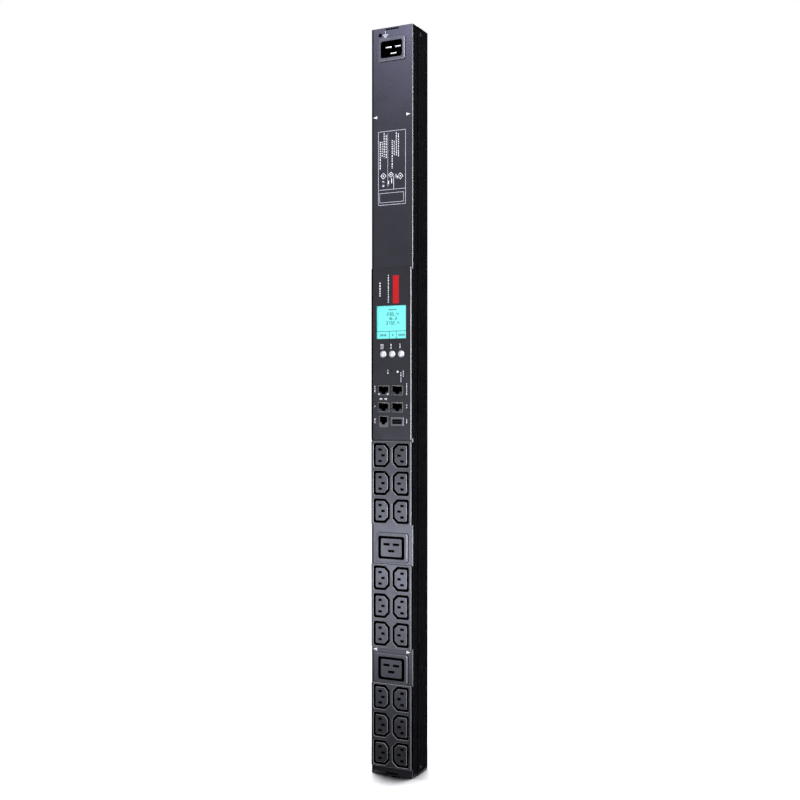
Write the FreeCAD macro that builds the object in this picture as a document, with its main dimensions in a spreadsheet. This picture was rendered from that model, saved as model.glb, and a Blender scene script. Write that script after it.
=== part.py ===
import FreeCAD
import Part
import Sketcher
import math
import os
from types import SimpleNamespace

# Vertical rack power distribution unit, in millimetres.
# The origin is the middle of the bottom end, +Z runs up the unit, and the outlets face -Y.

SIZES = {
    # chassis: a front channel lapped inside a rear channel
    "height": 914.0,
    "width": 57.6,
    "depth": 42.0,
    "sheet_wall": 0.8,
    "bend_radius": 1.0,
    "seam_depth": 13.0,
    "lap_length": 14.0,
    "window_drop": 1.6,
    "slit_width": 18.0,
    "slit_height": 2.0,
    "slit_edge": 1.3,
    # end caps and the screws that hold them
    "cap_lip_width": 26.0,
    "cap_lip_height": 5.0,
    "cap_flange_width": 24.0,
    "cap_flange_height": 10.8,
    "boss_gap": 0.2,
    "screw_diameter": 3.0,
    "screw_head_diameter": 5.6,
    "screw_head_height": 1.3,
    "screw_length": 6.0,
    "screw_edge": 8.2,
    "screw_gap": 0.1,
    # mounting pegs on the back
    "peg_from_top": 108.8,
    "peg_from_bottom": 152.4,
    "peg_head_diameter": 11.5,
    "peg_head_length": 2.8,
    "peg_neck_diameter": 6.6,
    "peg_neck_length": 3.2,
    "peg_shank_size": 4.4,
    "peg_tail_size": 9.0,
    "peg_tail_length": 1.2,
    # earth bonding nut beside the inlet
    "earth_x": 16.2,
    "earth_from_top": 8.4,
    "earth_shank_diameter": 5.0,
    "earth_thread_bore": 3.3,
    "earth_nut_width": 7.0,
    "earth_nut_length": 4.0,
    # supply inlet
    "inlet_from_top": 27.3,
    "inlet_flange_width": 35.6,
    "inlet_flange_height": 28.0,
    "inlet_flange_corner": 1.6,
    "inlet_proud": 2.2,
    "inlet_bevel": 1.0,
    "inlet_body_width": 33.2,
    "inlet_body_height": 24.6,
    "inlet_cavity_width": 29.2,
    "inlet_cavity_height": 20.6,
    "inlet_cavity_corner": 1.6,
    "inlet_cavity_depth": 19.0,
    "inlet_floor": 3.0,
    "pin_width": 8.0,
    "pin_thickness": 2.0,
    "pin_spacing": 13.0,
    "pin_row_offset": 4.0,
    "pin_setback": 5.0,
    "pin_tab_width": 6.3,
    "pin_tab_thickness": 0.8,
    "pin_gap": 0.05,
    # modules that fill the windows of the front channel
    "module_proud": 3.0,
    "module_clearance": 0.2,
    "module_bevel": 0.5,
    # control module
    "bezel_gap": 1.7,
    "bezel_height": 210.0,
    "bezel_overlap": 2.2,
    "bezel_depth": 11.5,
    "bezel_plate": 2.2,
    "bezel_wall": 1.8,
    "boss_size": 5.0,
    "stake_size": 2.4,
    "stake_proud": 0.8,
    "stake_gap": 0.1,
    "boss_spacing_x": 41.0,
    "boss_edge": 17.0,
    "display_rise": 143.7,
    "display_size": 40.2,
    "display_rim": 2.0,
    "window_thickness": 1.2,
    "window_gap": 0.15,
    "panel_gap": 0.3,
    "panel_thickness": 4.0,
    "holder_wall": 3.0,
    "button_rise": 104.7,
    "button_middle_x": 1.5,
    "button_pitch": 12.2,
    "button_diameter": 8.4,
    "button_bevel": 1.3,
    "button_proud": 2.0,
    "button_clearance": 0.3,
    "button_flange_size": 10.0,
    "button_flange_thickness": 1.0,
    "switch_size": 6.0,
    "switch_height": 3.5,
    "switch_bore": 4.2,
    "switch_bore_depth": 2.4,
    "plunger_size": 3.4,
    "plunger_depth": 1.2,
    "reset_x": 0.6,
    "reset_rise": 84.6,
    "reset_hole_diameter": 1.6,
    "reset_length": 8.0,
    "light_x": 9.0,
    "light_rise": 83.1,
    "light_diameter": 2.4,
    "light_gap": 0.2,
    # communication jacks
    "jack_left_x": -10.4,
    "jack_right_x": 8.2,
    "jack_upper_rise": 60.7,
    "jack_middle_rise": 40.0,
    "jack_lower_rise": 22.5,
    "jack_width": 15.4,
    "jack_height": 12.0,
    "jack_cavity_width": 12.8,
    "jack_cavity_height": 7.0,
    "serial_width": 13.4,
    "serial_height": 14.4,
    "serial_cavity_width": 10.6,
    "jack_cavity_depth": 13.0,
    "jack_roof": 1.0,
    "jack_latch_width": 6.4,
    "jack_latch_height": 1.7,
    "jack_key_width": 4.0,
    "jack_key_height": 1.2,
    "jack_gap": 0.2,
    "jack_recess": 0.3,
    "jack_bevel": 0.4,
    "usb_width": 17.4,
    "usb_height": 10.4,
    "usb_opening_width": 13.2,
    "usb_opening_height": 5.8,
    "usb_proud": 0.4,
    "usb_tongue_width": 11.4,
    "usb_tongue_thickness": 2.0,
    "usb_tongue_setback": 1.6,
    # circuit boards
    "board_thickness": 1.6,
    "board_front": -5.5,
    "board_width": 47.0,
    "board_margin": 6.0,
    "meter_board_y": 3.4,
    "meter_board_gap": 5.5,
    "meter_board_height": 74.0,
    "standoff_size": 5.0,
    "standoff_spacing_z": 62.0,
    "sensor_width": 10.4,
    "sensor_height": 9.0,
    "sensor_window": 6.0,
    "converter_width": 26.0,
    "converter_height": 30.0,
    "converter_depth": 17.0,
    # small outlets, three rows of two in a block
    "bottom_margin": 10.3,
    "block_height": 102.0,
    "block_overlap": 0.8,
    "block_wall": 2.0,
    "block_floor": 2.5,
    "block_skirt": 8.0,
    "row_seam": 0.3,
    "row_pitch": 34.0,
    "column_spacing": 25.8,
    "groove_width": 22.4,
    "groove_height": 30.0,
    "groove_chamfer": 6.2,
    "groove_corner": 1.8,
    "groove_bevel": 0.35,
    "groove_depth": 16.5,
    "core_width": 16.2,
    "core_height": 23.6,
    "core_chamfer": 4.6,
    "core_corner": 1.0,
    "slot_width": 4.8,
    "slot_height": 3.0,
    "slot_spacing": 14.0,
    "slot_offset": 2.0,
    "slot_wall": 2.5,
    "contact_room": 0.6,
    "leaf_thickness": 0.6,
    "leaf_gap": 2.0,
    "strip_thickness": 0.8,
    "strip_width": 3.0,
    "rail_gap": 2.4,
    "cover_thickness": 2.0,
    "tail_width": 3.0,
    "tail_room": 0.5,
    # large outlets
    "large_lower_gap_below": 0.4,
    "large_lower_gap_above": 6.8,
    "large_upper_gap_below": 2.4,
    "large_upper_gap_above": 9.5,
    "large_flange_width": 43.2,
    "large_flange_height": 36.2,
    "large_flange_radius": 3.0,
    "large_proud": 2.4,
    "large_bevel": 0.8,
    "large_groove_width": 35.6,
    "large_groove_height": 28.0,
    "large_core_width": 28.0,
    "large_core_height": 21.8,
    "large_groove_radius": 2.6,
    "large_core_corner": 1.2,
    "large_groove_depth": 18.0,
    "large_wall": 1.4,
    "large_floor": 4.0,
    "large_slot_width": 8.6,
    # insulated wires behind the modules
    "wire_diameter": 4.4,
    "wire_spacing": 8.0,
    "wire_y": 12.0,
    "wire_bottom": 14.0,
}


class Size:
    """A length that keeps both its number and the sheet expression it comes from."""

    def __init__(self, value, text):
        self.value = value
        self.text = text

    def __add__(self, other):
        other = as_size(other)
        return Size(self.value + other.value, f"({self.text} + {other.text})")

    def __sub__(self, other):
        other = as_size(other)
        return Size(self.value - other.value, f"({self.text} - {other.text})")

    def __mul__(self, factor):
        return Size(self.value * factor, f"({self.text} * {factor})")

    def __truediv__(self, factor):
        return Size(self.value / factor, f"({self.text} / {factor})")

    def __neg__(self):
        return Size(-self.value, f"(-{self.text})")

    def __radd__(self, other):
        return as_size(other) + self

    def __rsub__(self, other):
        return as_size(other) - self

    def __rmul__(self, factor):
        return self * factor


def as_size(value):
    """A plain number becomes a size with that number as its expression."""
    if isinstance(value, Size):
        return value
    return Size(float(value), f"({value})")


def fill_sheet(doc):
    """Write every driving size into the sheet and give its cell an alias."""
    sheet = doc.addObject("Spreadsheet::Sheet", "sizes")
    for row, (name, value) in enumerate(SIZES.items(), start=1):
        sheet.set(f"A{row}", name)
        sheet.set(f"B{row}", str(value))
        sheet.setAlias(f"B{row}", name)
    doc.recompute()
    return sheet


doc = FreeCAD.newDocument("rack_power_unit")
sheet = fill_sheet(doc)
d = SimpleNamespace(**{name: Size(value, f"sizes.{name}") for name, value in SIZES.items()})
parts = []


# Shared reference lengths: y grows from the front to the back.
FRONT = -d.depth / 2
REAR = d.depth / 2
INNER_FRONT = FRONT + d.sheet_wall
INNER_REAR = REAR - d.sheet_wall
FRONT_HALF = d.width / 2 - d.sheet_wall
FLANGE_INSIDE = FRONT_HALF - d.sheet_wall
MODULE_FRONT = FRONT - d.module_proud
MODULE_HALF = FLANGE_INSIDE - d.module_clearance
TONGUE_HALF = FRONT_HALF - d.bend_radius - d.module_clearance / 2
BEZEL_BACK = MODULE_FRONT + d.bezel_plate
WIRE_FRONT = d.wire_y - d.wire_diameter / 2
INLET_Z = d.height - d.inlet_from_top
EARTH_Z = d.height - d.earth_from_top
PEG_HEIGHTS = (d.peg_from_bottom, d.height - d.peg_from_top)
CUT_ROOM = 1.0
OCTAGON_CORNER = 0.29289


def next_above(middle, height, gap, next_height):
    """The middle of the piece that stands a gap above another one."""
    return middle + height / 2 + gap + next_height / 2


# Middles of the modules, stacked upwards from the bottom end.
BLOCK_LOWER_Z = d.bottom_margin + d.block_height / 2
LARGE_LOWER_Z = next_above(BLOCK_LOWER_Z, d.block_height, d.large_lower_gap_below, d.large_flange_height)
BLOCK_MIDDLE_Z = next_above(LARGE_LOWER_Z, d.large_flange_height, d.large_lower_gap_above, d.block_height)
LARGE_UPPER_Z = next_above(BLOCK_MIDDLE_Z, d.block_height, d.large_upper_gap_below, d.large_flange_height)
BLOCK_UPPER_Z = next_above(LARGE_UPPER_Z, d.large_flange_height, d.large_upper_gap_above, d.block_height)
BEZEL_MIDDLE = next_above(BLOCK_UPPER_Z, d.block_height, d.bezel_gap, d.bezel_height)
METER_BOARD_Z = next_above(BEZEL_MIDDLE, d.bezel_height, d.meter_board_gap, d.meter_board_height)

# Middles of what the control module carries, above its own bottom edge.
BEZEL_BOTTOM = BEZEL_MIDDLE - d.bezel_height / 2
DISPLAY_Z = BEZEL_BOTTOM + d.display_rise
BUTTON_Z = BEZEL_BOTTOM + d.button_rise
RESET_Z = BEZEL_BOTTOM + d.reset_rise
LIGHT_Z = BEZEL_BOTTOM + d.light_rise
JACK_UPPER_Z = BEZEL_BOTTOM + d.jack_upper_rise
JACK_MIDDLE_Z = BEZEL_BOTTOM + d.jack_middle_rise
JACK_LOWER_Z = BEZEL_BOTTOM + d.jack_lower_rise


def bind(thing, path, size):
    """Tie a property to the sheet expression of a size."""
    thing.setExpression(path, as_size(size).text)


def new_body(label):
    """An empty solid body that becomes one named piece."""
    body = doc.addObject("PartDesign::Body", label)
    body.Label = label
    parts.append(body)
    return body


def sketch_on(body, role, level=0.0):
    """A sketch parallel to one of the body's own origin planes."""
    sketch = body.newObject("Sketcher::SketchObject", "profile")
    plane = next(item for item in body.Origin.OriginFeatures if item.Role == role)
    sketch.AttachmentSupport = [(plane, "")]
    sketch.MapMode = "FlatFace"
    bind(sketch, "AttachmentOffset.Base.z", level)
    return sketch


def front_view(body, y):
    """A sketch seen from the front, in x and z, at depth y. Its normal points to the front."""
    return sketch_on(body, "XZ_Plane", -as_size(y))


def plan_view(body, z):
    """A sketch seen from above, in x and y, at height z."""
    return sketch_on(body, "XY_Plane", z)


def side_view(body, x):
    """A sketch seen from the right side, in y and z, at distance x."""
    return sketch_on(body, "YZ_Plane", x)


def hold(sketch, edge, end, place):
    """Fix one end of a sketch edge at a place given by two sizes."""
    for kind, size in zip(("DistanceX", "DistanceY"), place):
        size = as_size(size)
        index = sketch.addConstraint(Sketcher.Constraint(kind, -1, 1, edge, end, size.value))
        bind(sketch, f"Constraints[{index}]", size)


def sign(number):
    """-1, 0 or 1, with rounding noise counted as 0."""
    return 0 if abs(number) < 1e-7 else int(math.copysign(1, number))


def stops(corners, index):
    """Where the straight edges end at a corner: one point, or two on either side of a round."""
    x, y, radius = corners[index]
    before = corners[index - 1]
    after = corners[(index + 1) % len(corners)]
    if radius is None:
        return [(x, y)]
    arrive = (sign(x.value - before[0].value), sign(y.value - before[1].value))
    leave = (sign(after[0].value - x.value), sign(after[1].value - y.value))
    start = (x - radius * arrive[0], y - radius * arrive[1])
    finish = (x + radius * leave[0], y + radius * leave[1])
    middle = (start[0] + radius * leave[0], start[1] + radius * leave[1])
    return [start, finish, middle]


def outline(sketch, places):
    """A closed outline. A place is (x, y), or (x, y, radius) for a rounded square corner."""
    corners = []
    for place in places:
        radius = as_size(place[2]) if len(place) == 3 else None
        corners.append((as_size(place[0]), as_size(place[1]), radius))
    ends = [stops(corners, index) for index in range(len(corners))]
    lines = []
    for index, here in enumerate(ends):
        there = ends[(index + 1) % len(ends)]
        leave = here[1] if len(here) == 3 else here[0]
        first = FreeCAD.Vector(leave[0].value, leave[1].value, 0)
        last = FreeCAD.Vector(there[0][0].value, there[0][1].value, 0)
        lines.append(sketch.addGeometry(Part.LineSegment(first, last)))
        hold(sketch, lines[-1], 1, leave)
    for index, here in enumerate(ends):
        arriving = lines[index - 1]
        leaving = lines[index]
        if len(here) == 1:
            sketch.addConstraint(Sketcher.Constraint("Coincident", arriving, 2, leaving, 1))
            continue
        hold(sketch, arriving, 2, here[0])
        round_corner(sketch, arriving, leaving, here, corners[index][2])


def round_corner(sketch, arriving, leaving, here, radius):
    """An arc of a given radius between two edges that end at its tangent points."""
    start, finish, middle = [FreeCAD.Vector(x.value, y.value, 0) for x, y in here]
    turn = (start - middle).cross(finish - middle).z
    ends = (start, finish) if turn > 0 else (finish, start)
    angles = [math.atan2(point.y - middle.y, point.x - middle.x) for point in ends]
    if angles[1] < angles[0]:
        angles[1] += 2 * math.pi
    circle = Part.Circle(middle, FreeCAD.Vector(0, 0, 1), radius.value)
    arc = sketch.addGeometry(Part.ArcOfCircle(circle, angles[0], angles[1]))
    first, last = (1, 2) if turn > 0 else (2, 1)
    sketch.addConstraint(Sketcher.Constraint("Coincident", arriving, 2, arc, first))
    sketch.addConstraint(Sketcher.Constraint("Coincident", leaving, 1, arc, last))
    index = sketch.addConstraint(Sketcher.Constraint("Radius", arc, radius.value))
    bind(sketch, f"Constraints[{index}]", radius)


def box_outline(sketch, left, right, bottom, top, radius=None):
    """A rectangle between two pairs of edges, with round corners if a radius is given."""
    places = [(left, bottom), (right, bottom), (right, top), (left, top)]
    if radius is not None:
        places = [place + (radius,) for place in places]
    outline(sketch, places)


def centred_box(sketch, x, z, width, height, radius=None):
    """A rectangle of a given size round a centre."""
    width = as_size(width)
    height = as_size(height)
    box_outline(sketch, x - width / 2, x + width / 2, z - height / 2, z + height / 2, radius)


def cut_corner_box(sketch, x, z, width, height, corner):
    """A rectangle round a centre with a small equal chamfer at each corner."""
    left = x - width / 2
    right = x + width / 2
    low = z - height / 2
    high = z + height / 2
    outline(sketch, [
        (left + corner, low), (right - corner, low), (right, low + corner), (right, high - corner),
        (right - corner, high), (left + corner, high), (left, high - corner), (left, low + corner),
    ])


def eight_sided(sketch, x, z, width):
    """A regular octagon across flats, for small round stock and its holes."""
    cut_corner_box(sketch, x, z, width, width, width * OCTAGON_CORNER)


def ring(sketch, x, y, diameter):
    """A circle round a centre."""
    diameter = as_size(diameter)
    x = as_size(x)
    y = as_size(y)
    centre = FreeCAD.Vector(x.value, y.value, 0)
    edge = sketch.addGeometry(Part.Circle(centre, FreeCAD.Vector(0, 0, 1), diameter.value / 2))
    index = sketch.addConstraint(Sketcher.Constraint("Diameter", edge, diameter.value))
    bind(sketch, f"Constraints[{index}]", diameter)
    hold(sketch, edge, 3, (x, y))


def pad(body, sketch, length, backward=False):
    """Raise a sketch along its normal, or against it."""
    feature = body.newObject("PartDesign::Pad", "pad")
    feature.Profile = sketch
    bind(feature, "Length", length)
    feature.Reversed = backward
    sketch.Visibility = False
    return feature


def pocket(body, sketch, length, forward=False, both_ways=False):
    """Cut a sketch against its normal, along it, or half of the length each way."""
    feature = body.newObject("PartDesign::Pocket", "pocket")
    feature.Profile = sketch
    bind(feature, "Length", length)
    feature.Reversed = forward
    if both_ways:
        feature.SideType = "Symmetric"
    sketch.Visibility = False
    return feature


def repeat_up(body, features, sketch, count, length):
    """Repeat features upwards along a front sketch's vertical axis."""
    feature = body.newObject("PartDesign::LinearPattern", "rows")
    feature.Originals = features
    feature.Direction = (sketch, ["V_Axis"])
    feature.Occurrences = count
    bind(feature, "Length", length)
    body.Tip = feature
    return feature


def mirror_across(body, features):
    """Mirror features to the other side of the unit."""
    feature = body.newObject("PartDesign::Mirrored", "mirror")
    feature.Originals = features
    plane = next(item for item in body.Origin.OriginFeatures if item.Role == "YZ_Plane")
    feature.MirrorPlane = (plane, [""])
    body.Tip = feature
    return feature


def bevel_front(body, y, size, keep=None):
    """Bevel the edges that lie in the front plane at depth y and pass the keep test."""
    doc.recompute()
    tip = body.Tip
    names = []
    for number, edge in enumerate(tip.Shape.Edges, start=1):
        box = edge.BoundBox
        flat = abs(box.YMin - y.value) < 1e-4 and abs(box.YMax - y.value) < 1e-4
        if flat and (keep is None or keep(box)):
            names.append(f"Edge{number}")
    feature = body.newObject("PartDesign::Chamfer", "bevel")
    feature.Base = (tip, names)
    bind(feature, "Size", size)
    body.Tip = feature


def slab(label, left, right, front, back, bottom, top):
    """A plain block between six faces."""
    block = doc.addObject("Part::Box", label)
    block.Label = label
    spans = (("Length", "x", left, right), ("Width", "y", front, back), ("Height", "z", bottom, top))
    for side, axis, low, high in spans:
        low = as_size(low)
        high = as_size(high)
        bind(block, side, high - low)
        bind(block, f"Placement.Base.{axis}", low)
    parts.append(block)
    return block


def lift(piece, z):
    """Set a piece modelled about z = 0 at its height."""
    bind(piece, "Placement.Base.z", z)


# Chassis


def full_windows():
    """Bottom and top of each window that takes the whole width of the front channel."""
    spans = [(BEZEL_BOTTOM + d.bezel_overlap, BEZEL_BOTTOM + d.bezel_height - d.bezel_overlap)]
    for centre in (BLOCK_UPPER_Z, BLOCK_MIDDLE_Z, BLOCK_LOWER_Z):
        half = d.block_height / 2 - d.block_overlap
        spans.append((centre - half, centre + half))
    return spans


SCREW_HOLE = d.screw_diameter + d.screw_gap * 2


def make_front_channel():
    body = new_body("front_channel")
    plan = plan_view(body, 0)
    flange_end = FRONT + d.seam_depth + d.lap_length
    outline(plan, [
        (-FRONT_HALF, FRONT, d.bend_radius),
        (FRONT_HALF, FRONT, d.bend_radius),
        (FRONT_HALF, flange_end),
        (FLANGE_INSIDE, flange_end),
        (FLANGE_INSIDE, INNER_FRONT),
        (-FLANGE_INSIDE, INNER_FRONT),
        (-FLANGE_INSIDE, flange_end),
        (-FRONT_HALF, flange_end),
    ])
    pad(body, plan, d.height)
    windows = front_view(body, FRONT - CUT_ROOM)
    for bottom, top in full_windows():
        box_outline(windows, -d.width / 2, d.width / 2, bottom, top)
    pocket(body, windows, d.window_drop + CUT_ROOM)
    holes = front_view(body, FRONT - CUT_ROOM)
    gap = d.module_clearance * 2
    centred_box(holes, 0, INLET_Z, d.inlet_body_width + gap, d.inlet_body_height + gap)
    for z in (LARGE_UPPER_Z, LARGE_LOWER_Z):
        wall = d.large_wall * 2 + gap
        centred_box(holes, 0, z, d.large_groove_width + wall, d.large_groove_height + wall)
    for z in (d.slit_edge + d.slit_height / 2, d.height - d.slit_edge - d.slit_height / 2):
        centred_box(holes, 0, z, d.slit_width, d.slit_height)
    ring(holes, -d.earth_x, EARTH_Z, d.earth_shank_diameter + d.screw_gap)
    pocket(body, holes, d.sheet_wall * 2 + CUT_ROOM)
    notches = side_view(body, 0)
    for z in (d.screw_edge, d.height - d.screw_edge):
        centred_box(notches, 0, z, SCREW_HOLE, SCREW_HOLE)
    pocket(body, notches, d.width * 2, both_ways=True)


def make_rear_channel():
    body = new_body("rear_channel")
    plan = plan_view(body, 0)
    half = d.width / 2
    lip = FRONT + d.seam_depth
    outline(plan, [
        (half, lip),
        (half, REAR, d.bend_radius),
        (-half, REAR, d.bend_radius),
        (-half, lip),
        (-FRONT_HALF, lip),
        (-FRONT_HALF, INNER_REAR),
        (FRONT_HALF, INNER_REAR),
        (FRONT_HALF, lip),
    ])
    pad(body, plan, d.height)
    pegs = front_view(body, REAR)
    for z in PEG_HEIGHTS:
        hole = d.peg_shank_size + d.screw_gap
        centred_box(pegs, 0, z, hole, hole)
    pocket(body, pegs, d.sheet_wall * 4, both_ways=True)
    screws = side_view(body, 0)
    for z in (d.screw_edge, d.height - d.screw_edge):
        eight_sided(screws, 0, z, SCREW_HOLE)
    pocket(body, screws, d.width * 2, both_ways=True)


def make_end_cap(label):
    """A folded end plate: a locating lip behind the front face and two side flanges."""
    body = new_body(label)
    plate = plan_view(body, 0)
    box_outline(plate, -FLANGE_INSIDE, FLANGE_INSIDE, INNER_FRONT, INNER_REAR)
    pad(body, plate, d.sheet_wall)
    lip = front_view(body, INNER_FRONT)
    box_outline(lip, -d.cap_lip_width / 2, d.cap_lip_width / 2, 0, d.cap_lip_height)
    pad(body, lip, d.sheet_wall, backward=True)
    boss = front_view(body, INNER_FRONT)
    centred_box(boss, 0, d.slit_edge + d.slit_height / 2,
                d.slit_width - d.boss_gap * 2, d.slit_height - d.boss_gap * 2)
    pad(body, boss, d.sheet_wall - d.boss_gap)
    flanges = plan_view(body, 0)
    half = d.cap_flange_width / 2
    box_outline(flanges, FLANGE_INSIDE - d.sheet_wall, FLANGE_INSIDE, -half, half)
    box_outline(flanges, -FLANGE_INSIDE, d.sheet_wall - FLANGE_INSIDE, -half, half)
    pad(body, flanges, d.cap_flange_height)
    holes = side_view(body, 0)
    centred_box(holes, 0, d.screw_edge, SCREW_HOLE, SCREW_HOLE)
    pocket(body, holes, d.width * 2, both_ways=True)
    return body


def make_end_caps():
    make_end_cap("bottom_end_cap")
    top = make_end_cap("top_end_cap")
    top.Placement = FreeCAD.Placement(FreeCAD.Vector(), FreeCAD.Rotation(FreeCAD.Vector(0, 1, 0), 180))
    lift(top, d.height)


def make_cover_screws():
    body = new_body("cover_screws")
    heads = side_view(body, d.width / 2)
    shanks = side_view(body, d.width / 2)
    for z in (d.screw_edge, d.height - d.screw_edge):
        ring(heads, 0, z, d.screw_head_diameter)
        eight_sided(shanks, 0, z, d.screw_diameter)
    features = [
        pad(body, heads, d.screw_head_height),
        pad(body, shanks, d.screw_length, backward=True),
    ]
    mirror_across(body, features)


def make_pegs():
    """Two headed pegs, each with a square shank through the back sheet and a square tail inside."""
    body = new_body("mounting_pegs")
    heads = front_view(body, REAR + d.peg_neck_length)
    necks = front_view(body, REAR)
    shanks = front_view(body, INNER_REAR)
    tails = front_view(body, INNER_REAR)
    for z in PEG_HEIGHTS:
        ring(heads, 0, z, d.peg_head_diameter)
        ring(necks, 0, z, d.peg_neck_diameter)
        centred_box(shanks, 0, z, d.peg_shank_size, d.peg_shank_size)
        centred_box(tails, 0, z, d.peg_tail_size, d.peg_tail_size)
    pad(body, heads, d.peg_head_length, backward=True)
    pad(body, necks, d.peg_neck_length, backward=True)
    pad(body, shanks, d.sheet_wall, backward=True)
    pad(body, tails, d.peg_tail_length)


def make_earth_nut():
    """A clinch nut: a hexagon behind the front sheet and a round shank flush with its face."""
    body = new_body("earth_nut")
    side = d.earth_nut_width * 0.57735
    half = d.earth_nut_width / 2
    hexagon = front_view(body, INNER_FRONT)
    outline(hexagon, [
        (-half - d.earth_x, EARTH_Z - side / 2),
        (-d.earth_x, EARTH_Z - side),
        (half - d.earth_x, EARTH_Z - side / 2),
        (half - d.earth_x, EARTH_Z + side / 2),
        (-d.earth_x, EARTH_Z + side),
        (-half - d.earth_x, EARTH_Z + side / 2),
    ])
    pad(body, hexagon, d.earth_nut_length, backward=True)
    shank = front_view(body, INNER_FRONT)
    ring(shank, -d.earth_x, EARTH_Z, d.earth_shank_diameter)
    pad(body, shank, d.sheet_wall)
    bore = front_view(body, FRONT)
    ring(bore, -d.earth_x, EARTH_Z, d.earth_thread_bore)
    pocket(body, bore, d.sheet_wall + d.earth_nut_length)


# Supply inlet

INLET_FRONT = FRONT - d.inlet_proud
INLET_FLOOR = INLET_FRONT + d.inlet_cavity_depth
INLET_BACK = INLET_FLOOR + d.inlet_floor


def pin_places():
    """Name, x and height from the middle for the line, neutral and earth pins of a large inlet."""
    return (
        ("line", -d.pin_spacing / 2, d.pin_row_offset),
        ("neutral", d.pin_spacing / 2, d.pin_row_offset),
        ("earth", d.pin_spacing * 0, -d.pin_row_offset),
    )


def make_inlet_body():
    body = new_body("inlet_body")
    flange = front_view(body, FRONT)
    cut_corner_box(flange, 0, INLET_Z, d.inlet_flange_width, d.inlet_flange_height, d.inlet_flange_corner)
    pad(body, flange, d.inlet_proud)
    bevel_front(body, INLET_FRONT, d.inlet_bevel)
    shell = front_view(body, FRONT)
    centred_box(shell, 0, INLET_Z, d.inlet_body_width, d.inlet_body_height)
    pad(body, shell, INLET_BACK - FRONT, backward=True)
    cavity = front_view(body, INLET_FRONT)
    cut_corner_box(cavity, 0, INLET_Z, d.inlet_cavity_width, d.inlet_cavity_height, d.inlet_cavity_corner)
    pocket(body, cavity, d.inlet_cavity_depth)
    slots = front_view(body, INLET_FLOOR)
    for name, x, rise in pin_places():
        gap = d.pin_gap * 2
        centred_box(slots, x, INLET_Z + rise, d.pin_width + gap, d.pin_thickness + gap)
    pocket(body, slots, d.inlet_floor)


def make_inlet_pins():
    for name, x, rise in pin_places():
        body = new_body(f"inlet_{name}_pin")
        z = INLET_Z + rise
        tip = INLET_FRONT + d.pin_setback
        blade = front_view(body, tip)
        centred_box(blade, x, z, d.pin_width, d.pin_thickness)
        pad(body, blade, INLET_BACK - tip, backward=True)
        bevel_front(body, tip, d.pin_thickness / 4)
        tab = front_view(body, INLET_BACK)
        centred_box(tab, x, z, d.pin_tab_width, d.pin_tab_thickness)
        pad(body, tab, WIRE_FRONT - INLET_BACK, backward=True)


# Control module


def jack_places():
    """Name, x, z, body width, body height and cavity width of each modular jack."""
    rj = (d.jack_width, d.jack_height, d.jack_cavity_width)
    small = (d.serial_width, d.serial_height, d.serial_cavity_width)
    return (
        ("network_jack", d.jack_left_x, JACK_UPPER_Z) + rj,
        ("sensor_jack", d.jack_right_x, JACK_UPPER_Z) + rj,
        ("link_in_jack", d.jack_left_x, JACK_MIDDLE_Z) + rj,
        ("link_out_jack", d.jack_right_x, JACK_MIDDLE_Z) + rj,
        ("serial_jack", d.jack_left_x, JACK_LOWER_Z) + small,
    )


def button_places():
    """Label and x of the three push buttons."""
    middle = d.button_middle_x
    return (
        ("menu_button", middle - d.button_pitch),
        ("scroll_button", middle),
        ("select_button", middle + d.button_pitch),
    )


def boss_places():
    """Centres of the four bosses that carry the control board on their stakes."""
    places = []
    spacing = d.bezel_height - d.boss_edge * 2
    for side in (-0.5, 0.5):
        for end in (-0.5, 0.5):
            places.append((d.boss_spacing_x * side, BEZEL_MIDDLE + spacing * end))
    return places


def make_control_bezel():
    body = new_body("control_bezel")
    window_bottom, window_top = full_windows()[0]
    low = window_bottom + d.module_clearance
    high = window_top - d.module_clearance
    shell = front_view(body, MODULE_FRONT)
    box_outline(shell, -MODULE_HALF, MODULE_HALF, low, high)
    pad(body, shell, d.bezel_depth, backward=True)
    tongue = front_view(body, MODULE_FRONT)
    centred_box(tongue, 0, BEZEL_MIDDLE, TONGUE_HALF * 2, d.bezel_height)
    pad(body, tongue, d.module_proud, backward=True)
    bevel_front(body, MODULE_FRONT, d.module_bevel)
    inside = front_view(body, BEZEL_BACK)
    wall = d.bezel_wall
    box_outline(inside, wall - MODULE_HALF, MODULE_HALF - wall, low + wall, high - wall)
    pocket(body, inside, d.bezel_depth)
    bosses = front_view(body, BEZEL_BACK)
    stakes = front_view(body, d.board_front)
    for x, z in boss_places():
        centred_box(bosses, x, z, d.boss_size, d.boss_size)
        centred_box(stakes, x, z, d.stake_size, d.stake_size)
    pad(body, bosses, d.board_front - BEZEL_BACK, backward=True)
    pad(body, stakes, d.board_thickness + d.stake_proud, backward=True)
    openings = front_view(body, MODULE_FRONT)
    centred_box(openings, 0, DISPLAY_Z, d.display_size, d.display_size)
    for label, x in button_places():
        ring(openings, x, BUTTON_Z, d.button_diameter + d.button_clearance * 2)
    eight_sided(openings, d.reset_x, RESET_Z, d.reset_hole_diameter)
    eight_sided(openings, d.light_x, LIGHT_Z, d.light_diameter + d.light_gap * 2)
    for name, x, z, width, height, cavity in jack_places():
        centred_box(openings, x, z, width + d.jack_gap * 2, height + d.jack_gap * 2)
    centred_box(openings, d.jack_right_x, JACK_LOWER_Z,
                d.usb_width + d.jack_gap * 2, d.usb_height + d.jack_gap * 2)
    pocket(body, openings, d.bezel_plate)


PANEL_FRONT = BEZEL_BACK + d.window_thickness + d.panel_gap
PANEL_BACK = PANEL_FRONT + d.panel_thickness


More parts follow.
